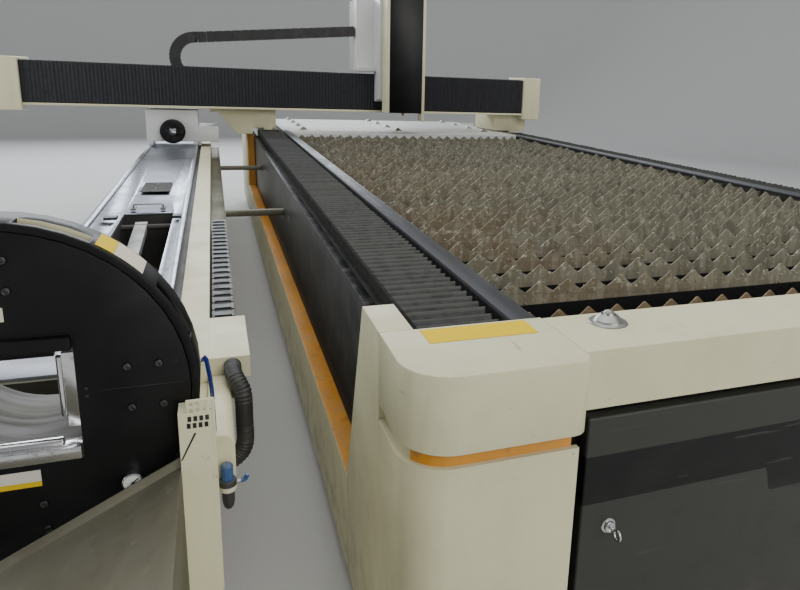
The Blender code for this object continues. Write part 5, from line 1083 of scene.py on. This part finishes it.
def head_chains():
    """Links of the head's chain: the run in the beam, the bend that travels half as far, the upper run."""
    lowest, highest = low("head_chain_bend"), high("head_chain_bend")
    middle_y = (lowest.y + highest.y) / 2
    tall, half_tall = 0.081, 0.0408
    radius = (highest.z - lowest.z) / 2
    run = radius - tall / 2 - CLEAR
    centre_z = highest.z - radius
    width = highest.y - lowest.y - 0.0028
    upper_start = low("head_chain_upper").z + half_tall
    upper_rise = high("head_chain_upper").z - half_tall - upper_start

    def straight(name, node, height, rise):
        lean = math.atan(rise / 1.257)
        start, end = low(node).x + 0.041 * math.sin(lean), high(node).x - 0.041 * math.sin(lean)
        count = round((end - start) / 0.0655)
        step = (end - start) / count
        link = link_template(step * 0.99, width, tall)
        bm = bmesh.new()
        for i in range(count):
            spot = (start + (i + 0.5) * step, middle_y, height + rise * (i + 0.5) / count)
            stamp(bm, link, Matrix.Translation(spot) @ Matrix.Rotation(-lean, 4, "Y"))
        return piece(name, bm, "chain", None, (node,), smooth=30)

    upper = straight("chain_upper_links", "head_chain_upper", upper_start, upper_rise)
    lower = straight("chain_lower_links", "head_chain_lower", centre_z - run, 0.0)

    bm = bmesh.new()
    sides = 10
    length = 2 * radius * math.sin(math.pi / sides / 2)
    reach = math.sqrt(radius ** 2 - (length / 2) ** 2) - tall / 2 - CLEAR
    nested = [link_template(length, width - inset, tall) for inset in (0.0, 0.003)]
    for i in range(sides):
        turn = math.pi / 2 + math.pi * (i + 0.5) / sides
        spot = Vector((BEND_X + reach * math.cos(turn), middle_y, centre_z + reach * math.sin(turn)))
        stamp(bm, nested[i % 2], Matrix.Translation(spot) @ Matrix.Rotation(-turn - math.pi / 2, 4, "Y"))
    for end, level in ((BEND_UPPER_END, centre_z + run), (BEND_LOWER_END, centre_z - run)):
        stub = link_template(end - BEND_X, width, tall)
        stamp(bm, stub, Matrix.Translation(((end + BEND_X) / 2, middle_y, level)))
    piece("chain_bend_links", bm, "chain", "chain_bend", ("head_chain_bend",), smooth=30)

    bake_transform(upper)
    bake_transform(lower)


def side_chain():
    """Links of the chain that lies in the tray beside the tube bed."""
    lowest, highest = low("side_chain"), high("side_chain")
    count = round((highest.y - lowest.y) / 0.060)
    step = (highest.y - lowest.y) / count
    tall = highest.z - lowest.z - 2 * SEAT
    link = link_template(step * 0.96, highest.x - lowest.x - 0.0030, tall)
    turn = Matrix.Rotation(math.pi / 2, 4, "Z")
    bm = bmesh.new()
    for i in range(count):
        spot = Vector(((lowest.x + highest.x) / 2, lowest.y + (i + 0.5) * step, lowest.z + tall / 2 + SEAT))
        stamp(bm, link, Matrix.Translation(spot) @ turn)
    piece("side_chain_links", bm, "plastic", "bed", ("side_chain",), smooth=30)


# Gantry and head


def gantry():
    """Caps, legs, bellows and cover of the beam, with the head's carriage and column."""
    for side in ("left", "right"):
        refine("beam_cap_" + side, "cream", 0.0040, 3)
        refine("gantry_leg_" + side, "cream", 0.0030, 2)
        beam_bellows(side)
    refine("beam_cover", "cream", 0.0015, 1)
    dress("gantry_beam", "frame")
    refine("head_carriage", "white", 0.0025, 2)
    refine("column_cover", "cream", 0.0022, 2)
    refine("column_front", "gloss_black", 0.0012, 2)


def cutting_head():
    """Cutting head in its sections: block, collars, cone and copper nozzle."""
    lowest, highest = low("laser_head"), high("laser_head")
    x = (lowest.x + highest.x) / 2
    y = lowest.y + 0.045
    top, tip = highest.z, lowest.z
    profile = [
        (0, top), (0.0440, top), (0.0449, top - 0.002), (0.0449, top - 0.120), (0.0430, top - 0.122),
        (0.0430, top - 0.126), (0.0449, top - 0.128), (0.0449, top - 0.260), (0.0425, top - 0.262),
        (0.0425, top - 0.268), (0.0449, top - 0.270), (0.0449, tip + 0.102), (0.0400, tip + 0.092),
        (0.0360, tip + 0.074), (0.0355, tip + 0.060), (0.0280, tip + 0.044), (0.0210, tip + 0.038),
        (0.0160, tip + 0.020), (0, tip + 0.020),
    ]
    barrel = {"replaces": ("laser_head",), "smooth": 30}
    turned("laser_head_body", profile, (x, y, 0), "Z", 40, "steel", "cutting_head", **barrel)
    block = [((lowest.x, y + 0.001, tip + 0.157), (highest.x, highest.y - SEAT, top - 0.029))]
    blocks("laser_head_block", block, "black", "cutting_head", bevel=0.003)
    nozzle = [
        (0.0030, tip + 0.0202), (0.0140, tip + 0.0202), (0.0140, tip + 0.014), (0.0110, tip + 0.010),
        (0.0058, tip + 0.0005), (0.0052, tip), (0.0015, tip), (0.0016, tip + 0.004),
    ]
    turned("laser_nozzle", nozzle, (x, y, 0), "Z", 28, "copper", "cutting_head", smooth=30)


# Tube unit


def tube_unit():
    """Covers and carriers of the tube unit, and dark patches of painted shade on the guard for its slots."""
    refine("tube_top_plate", "bed_steel", 0.0012, 1)
    refine("tube_side_cover", "cream", 0.0030, 2)
    refine("chuck_pedestal", "cream", 0.0035, 2)
    refine("support_arm", "galvanised_light", 0.0020, 2)
    refine("cable_tray", "galvanised", 0.0006, 1)
    refine("feed_carriage", "white", 0.0050, 3)
    refine("feed_chuck", "black", 0.0015, 2)
    refine("service_cover", "cream", 0.0030, 3)
    refine("chip_guard", "cream", 0.0010, 2)
    # Painted shade: thin dark patches on the guard's front stand in for the dark insides of its slots and its
    # slit.
    bm = bmesh.new()
    front = low("chip_guard").y - CLEAR
    back = front + 0.0003
    for i in range(4):
        for j in range(2):
            left = -0.3300 + 0.0085 * i + 0.0015 * j
            bottom = 0.7710 + 0.0115 * j
            add_box(bm, (left, front, bottom), (left + 0.0055, back, bottom + 0.0085))
    slit = [(-0.3200, 0.7624), (-0.3168, 0.7624), (-0.3392, 0.7180), (-0.3416, 0.7180)]
    add_prism(bm, slit, "Y", front, back)
    piece("guard_slots", bm, "dark", NODES["chip_guard"]["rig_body"])
    refine("discharge_chute", "galvanised", 0.0012, 1)
    dress("tube_bed", "frame")


def tube_fixings():
    """Bolts along the tube rails, the wire handle, the pocket's lid and the arm's bearing blocks."""
    bolt = socket_bolt(0.0050, 0.0042)
    bm = bmesh.new()
    for x in (-0.752, -0.408):
        y = 0.56
        while y < 5.96:
            stamp(bm, bolt, Matrix.Translation((x, y, PLATE_TOP - 0.0040)))
            y += 0.12
    piece("tube_rail_bolts", bm, "bolt", "bed", smooth=35)

    seat = PLATE_TOP + SEAT
    left, right, at = -0.612, -0.495, 2.222
    half = [(0.0, 0.0064), (0.0, 0.016), (0.006, 0.0215), (0.03, 0.022)]
    wire = [(left + x, at, PLATE_TOP + z) for x, z in half]
    wire += [(right - x, at, PLATE_TOP + z) for x, z in reversed(half)]
    bm = bmesh.new()
    tube(bm, smooth_line(wire, 5), lambda s: 0.0036, 12)
    piece("lid_handle", bm, "zinc", "bed", smooth=40)
    foot_top, bearing_top = PLATE_TOP + 0.0060, PLATE_TOP + 0.0115
    feet = [((x - 0.010, at - 0.030, seat), (x + 0.010, at + 0.030, foot_top)) for x in (left, right)]
    spans = ((-0.700, -0.652), (-0.446, -0.414))
    bearings = [((start, 1.995, seat), (end, 2.045, bearing_top)) for start, end in spans]
    blocks("bearing_blocks", feet + bearings, "plastic", "bed", bevel=0.0012)
    lid = [((-0.626, 2.670, seat), (-0.492, 2.975, PLATE_TOP + 0.0032))]
    blocks("pocket_lid", lid, "dark", "bed", bevel=0.0008, steps=1)
    bm = bmesh.new()
    for y in (2.75, 2.90):
        stamp(bm, bolt, Matrix.Translation((-0.559, y, PLATE_TOP + 0.0036)))
    piece("lid_screws", bm, "zinc", "bed", smooth=35)


def arc_patch(name, look, start, end, near, far, body):
    """A thin band laid round the chuck between two angles, in degrees."""
    bm = bmesh.new()
    steps = 8
    rings = []
    for i in range(steps + 1):
        turn = math.radians(start + (end - start) * i / steps)
        outline = ((SEAT, near), (SEAT, far), (4 * SEAT, far), (4 * SEAT, near))
        ring = []
        for out, y in outline:
            radius = RIM_RADIUS + out
            x, z = CHUCK_X + radius * math.cos(turn), CHUCK_Z + radius * math.sin(turn)
            ring.append(bm.verts.new((x, y, z)))
        rings.append(ring)
    loft(bm, rings)
    piece(name, bm, look, body)


def chuck():
    """The front chuck: housing, face with its bolts, and jaws with rollers."""
    front = low("chuck_face").y
    flat = Matrix.Rotation(math.pi / 2, 4, "X")
    face_reach = 0.25
    slot_wall_y, slot_first_turn = 0.147, 0.9

    def face_side(centre, normal):
        x, z = centre.x - CHUCK_X, centre.z - CHUCK_Z
        inward = x * normal.x + z * normal.z < -0.05
        return 1 if math.hypot(x, z) < face_reach and inward and abs(normal.y) < 0.5 else 0

    def slot_end(centre, normal):
        x, z = centre.x - CHUCK_X, centre.z - CHUCK_Z
        in_rim = math.atan2(z, x) > slot_first_turn and math.hypot(x, z) > face_reach
        return 1 if in_rim and abs(centre.y - slot_wall_y) < 0.003 and normal.y < -0.5 else 0

    refine("chuck_housing", ["black", "cream"], 0.0012, 2, slot_end)
    refine("chuck_face", ["black", "bore"], 0.0012, 2, face_side)
    refine("jaw_top", "black", 0.0012, 2)
    for name in ("jaw_bottom", "jaw_left", "jaw_right"):
        refine(name, "chrome", 0.0012, 2)
    bolts = bmesh.new()
    big = socket_bolt(0.0062, 0.0050)
    small = socket_bolt(0.0026, 0.0018)
    for quarter in range(4):
        turn = math.pi / 2 * quarter
        for dx, dz in ((0.170, 0.041), (0.214, 0.042), (0.172, -0.027), (0.217, -0.0265)):
            x = CHUCK_X + dx * math.cos(turn) - dz * math.sin(turn)
            z = CHUCK_Z + dx * math.sin(turn) + dz * math.cos(turn)
            stamp(bolts, big, Matrix.Translation((x, front, z)) @ flat)
    for side in (-1, 1):
        for dz in (0.0115, -0.001):
            stamp(bolts, small, Matrix.Translation((CHUCK_X + side * 0.1126, front, CHUCK_Z + dz)) @ flat)
    piece("chuck_face_bolts", bolts, "bolt", "chuck", smooth=35)


def chuck_marks():
    """The seam across the chuck's face and the plain stickers on its face and rim."""
    front = low("chuck_face").y
    seam_near, seam_far = front - CLEAR, front - 0.0001
    seams = [
        ((CHUCK_X + start, seam_near, CHUCK_Z + 0.0056), (CHUCK_X + end, seam_far, CHUCK_Z + 0.0064))
        for start, end in ((-0.250, -0.131), (0.131, 0.250))
    ]
    blocks("chuck_seams", seams, "plastic", "chuck")
    near, far = front - 0.0007, front - SEAT
    blocks("chuck_sticker", [((-0.640, near, 0.6868), (-0.5391, far, 0.7141))], "sticker", "chuck")
    blocks("chuck_patch", [((-0.600, near, 0.9530), (-0.5605, far, 0.9740))], "pale", "chuck")
    arc_patch("rim_patch_yellow", "yellow", 53.0, 58.8, 0.112, 0.182, "bed")
    arc_patch("rim_patch_pale", "pale", 42.5, 52.9, 0.112, 0.182, "bed")


def pressure_gauge():
    """Case, dial and hand of the pressure gauge on the chuck's face."""
    front, gauge = low("chuck_face").y, low("pressure_gauge").y
    x, z = CHUCK_X + 0.166, CHUCK_Z - 0.149
    dial_radius = 0.0136
    bm = bmesh.new()
    profile = [
        (0, front - 0.0005), (0.0145, front - 0.0005), (0.0158, gauge + 0.0100), (0.0159, gauge + 0.0010),
        (0.0150, gauge), (0.0138, gauge + 0.0004), (0.0137, gauge + 0.0024), (0, gauge + 0.0026),
    ]
    add_lathe(bm, profile, (x, 0, z), "Y", 40)
    for face in bm.faces:
        centre = face.calc_center_median()
        inner = Vector((centre.x - x, centre.z - z)).length < dial_radius
        face.material_index = 1 if centre.y < gauge + 0.0028 and inner else 0
    piece("gauge_case", bm, ["chrome", "dial"], "chuck", ("pressure_gauge",), smooth=30)
    bm = bmesh.new()
    hand = add_box(bm, (-0.0008, gauge + 0.0014, -0.004), (0.0008, gauge + 0.0022, 0.0105))
    turn = Matrix.Translation((x, 0, z)) @ Matrix.Rotation(math.radians(48), 4, "Y")
    bmesh.ops.transform(bm, matrix=turn, verts=hand)
    add_lathe(bm, [(0, 0.0012), (0.0022, 0.0012), (0.0022, 0.0023), (0, 0.0023)], (x, gauge, z), "Y", 12)
    piece("gauge_hand", bm, "dark", "chuck")


def regulator():
    """Filter bowl, collar, pale ring and turned blue knob of the air regulator, with its elbow."""
    lowest, highest = low("regulator_body"), high("regulator_body")
    x, y = (lowest.x + highest.x) / 2, (lowest.y + highest.y) / 2
    bottom, top = lowest.z, highest.z
    port = top - 0.006
    bm = bmesh.new()
    profile = [
        (0, bottom), (0.0050, bottom), (0.0082, bottom + 0.004), (0.0100, bottom + 0.010),
        (0.0112, bottom + 0.016), (0.0112, top - 0.0220), (0.0140, top - 0.0216), (0.0144, top - 0.0200),
        (0.0144, top - 0.0125), (0.0140, top - 0.0120), (0.0140, top - 0.0115), (0.0156, top - 0.0110),
        (0.0158, top - 0.0020), (0.0148, top), (0, top),
    ]
    add_lathe(bm, profile, (x, y, 0), "Z", 32)
    for face in bm.faces:
        face.material_index = 1 if top - 0.0218 < face.calc_center_median().z < top - 0.0118 else 0
    piece("regulator_bowl", bm, ["plastic", "pale"], "bed", ("regulator_body",), smooth=35)

    base, crown = low("regulator_knob").z, high("regulator_knob").z
    bm = bmesh.new()
    ridge = [
        (0, base), (0.0108, base), (0.0109, base + 0.006), (0.0102, base + 0.008), (0.0106, crown - 0.004),
        (0.0078, crown), (0, crown),
    ]
    made = add_lathe(bm, ridge, (x, y, 0), "Z", 48)
    for i, vert in enumerate(made):
        away = Vector((vert.co.x - x, vert.co.y - y, 0))
        if away.length > 0.0095 and i % 4 < 2:
            vert.co -= away.normalized() * 0.0006
    piece("regulator_dial", bm, "blue", "regulator_knob", ("regulator_knob",), smooth=25)
    nut = [(0, 0.0161), (0.0046, 0.0161), (0.0046, 0.0225), (0, 0.0225)]
    turned("regulator_nut", nut, (x, y, port), "X", 6, "zinc", "bed", smooth=30)
    bend = [(x + 0.0227, y, port), (x + 0.028, y, port)]
    bend += [(x + 0.0325, y, top - 0.0025), (x + 0.034, y, top + 0.004)]
    bm = bmesh.new()
    tube(bm, smooth_line(bend, 6), lambda s: 0.0044, 16)
    piece("regulator_elbow", bm, "blue", "bed", smooth=50)


def hoses():
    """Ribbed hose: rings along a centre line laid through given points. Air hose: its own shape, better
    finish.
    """
    size = 0.019
    bend = size * 13 / 5
    box_front, box_top = 0.5004, 0.70
    cover_left, cover_right, cover_bottom = -0.3066, -0.26, 0.545
    exit_x, side_x = cover_right + size / 4, cover_right + size * 6 / 5
    exit_z, end_z = box_top - size - 2 * CLEAR, cover_bottom - bend
    start_y = box_front - 2 * size
    end_y = start_y - bend
    points = [(exit_x, y, exit_z) for y in (box_front - 3 * CLEAR, box_front - size, start_y)]
    for turn, share in ((30, 0.3), (60, 0.9), (90, 1.0)):
        angle = math.radians(turn)
        across = exit_x + share * (side_x - exit_x)
        points.append((across, start_y - bend * math.sin(angle), exit_z - bend * (1 - math.cos(angle))))
    points.append((side_x, end_y, (exit_z + end_z) / 2))
    for turn in (0, 30, 60, 90):
        angle = math.radians(turn)
        points.append((side_x - bend * (1 - math.cos(angle)), end_y, end_z + bend * (1 - math.sin(angle))))
    points += [(cover_left + size / 2, end_y, end_z), (cover_left + 2 * CLEAR, end_y, end_z)]
    crest, groove, rib_pitch = 0.0186, 0.0024, 0.0070

    def ribbed(along):
        return crest - groove * (0.5 + 0.5 * math.cos(2 * math.pi * along / rib_pitch)) ** 2

    bm = bmesh.new()
    tube(bm, smooth_line(points, 12), ribbed, 20)
    piece("ribbed_hose_finish", bm, "plastic", "bed", ("ribbed_hose",), smooth=60)
    dress("air_hose", "blue_hose")


def smooth_line(points, steps):
    """A curve through the points."""
    points = [Vector(p) for p in points]
    padded = [2 * points[0] - points[1]] + points + [2 * points[-1] - points[-2]]
    line = []
    for a, b, c, d in zip(padded, padded[1:], padded[2:], padded[3:]):
        for i in range(steps):
            t = i / steps
            flat = (2 * b) + (c - a) * t + (2 * a - 5 * b + 4 * c - d) * t * t
            line.append((flat + (3 * b - a - 3 * c + d) * t * t * t) / 2)
    line.append(points[-1])
    return line


def tube(bm, line, radius_at, segments):
    """Sweep a circle of varying radius along a line."""
    rings = []
    travelled = 0.0
    side = None
    for i, here in enumerate(line):
        ahead = line[min(i + 1, len(line) - 1)] - line[max(i - 1, 0)]
        ahead.normalize()
        if side is None:
            side = ahead.orthogonal().normalized()
        side = (side - ahead * side.dot(ahead)).normalized()
        other = ahead.cross(side)
        if i:
            travelled += (here - line[i - 1]).length
        r = radius_at(travelled)
        turns = [2 * math.pi * k / segments for k in range(segments)]
        rings.append([bm.verts.new(here + side * math.cos(t) * r + other * math.sin(t) * r) for t in turns])
    loft(bm, rings)


def rear_deck():
    """The deck made again without its ball units."""
    lowest, highest = low("rear_deck"), high("rear_deck")
    thick = 0.012
    hem = BED_TOP - thick - SEAT
    near, far = lowest.y + thick + CLEAR, highest.y - thick - CLEAR
    deck = [
        ((lowest.x, lowest.y, BED_TOP - thick), (highest.x, highest.y, BED_TOP)),
        (lowest, (highest.x, lowest.y + thick, hem)),
        ((lowest.x, highest.y - thick, lowest.z), (highest.x, highest.y, hem)),
        ((lowest.x, near, lowest.z), (lowest.x + thick, far, hem)),
        ((highest.x - thick, near, lowest.z), (highest.x, far, hem)),
    ]
    blocks("rear_deck_cover", deck, "white", "bed", replaces=("rear_deck",), bevel=0.0020)


# Floor, light and camera


def stage():
    """A pale floor that curves up far behind the machine."""
    reach, curve, wall_top, sunk = 11.0, 3.0, 9.0, 0.001
    profile = [(0, 0), (reach, 0)]
    for step in range(1, 11):
        turn = step * math.pi / 20
        profile.append((reach + curve * math.sin(turn), curve - curve * math.cos(turn)))
    profile.append((reach + curve, wall_top))
    bm = bmesh.new()
    add_lathe(bm, profile, (0, 0, -sunk), "Z", 64)
    floor = mesh_object("floor", bm)
    floor.data.shade_smooth()
    look = bpy.data.materials.new("pale_floor")
    look.use_nodes = True
    shader = look.node_tree.nodes["Principled BSDF"]
    shader.inputs["Base Color"].default_value = (0.62, 0.62, 0.61, 1.0)
    shader.inputs["Roughness"].default_value = 0.85
    floor.data.materials.append(look)


def area_light(name, place, target, size, power, colour):
    data = bpy.data.lights.new(name, "AREA")
    data.shape = "RECTANGLE"
    data.size, data.size_y = size
    data.energy = power
    data.color = colour
    obj = bpy.data.objects.new(name, data)
    bpy.context.scene.collection.objects.link(obj)
    obj.location = place
    obj.rotation_mode = "QUATERNION"
    obj.rotation_quaternion = (Vector(target) - Vector(place)).to_track_quat("-Z", "Y")
    return obj


def lights():
    """Broad light from the windows behind, a soft overhead panel and a weak fill from the camera's side."""
    area_light("back_windows", (-1.5, 8.5, 4.6), (0.0, 0.0, 0.7), (9.0, 3.0), 620.0, (0.90, 0.95, 1.0))
    area_light("overhead", (0.5, -0.5, 6.2), (0.3, -0.5, 0.0), (8.0, 8.0), 340.0, (1.0, 0.99, 0.97))
    area_light("left_windows", (-8.0, -1.0, 3.4), (0.0, -1.0, 0.7), (6.0, 3.0), 230.0, (0.95, 0.97, 1.0))
    area_light("front_fill", (2.5, -8.5, 4.0), (0.0, -1.5, 0.6), (6.0, 4.0), 300.0, (1.0, 0.97, 0.93))
    world = bpy.data.worlds.new("room")
    world.use_nodes = True
    background = world.node_tree.nodes["Background"]
    background.inputs["Color"].default_value = (0.80, 0.84, 0.90, 1.0)
    background.inputs["Strength"].default_value = 0.35
    bpy.context.scene.world = world


def camera():
    """Standing in front of the tube unit's chuck, looking along the bed."""
    data = bpy.data.cameras.new("camera")
    data.sensor_fit = "HORIZONTAL"
    data.sensor_width = 36.0
    data.lens = 30.06
    data.shift_x = -0.0875
    data.shift_y = -0.0644
    data.clip_start = 0.02
    data.clip_end = 60.0
    obj = bpy.data.objects.new("camera", data)
    bpy.context.scene.collection.objects.link(obj)
    obj.location = Vector((-0.269, -0.961, 1.31)) + DATUM
    obj.rotation_euler = [math.radians(a) for a in (76.360, -2.2337, -20.593)]
    bpy.context.scene.camera = obj


camera()
stage()
lights()
bed_covers()
front_beam()
ball_units()
corner_details()
doors()
slats()
slag()
for hand in ("left", "right"):
    side_bellows(hand)
rear_deck()
gantry()
cutting_head()
head_chains()
side_chain()
tube_unit()
tube_fixings()
chuck()
chuck_marks()
pressure_gauge()
regulator()
hoses()
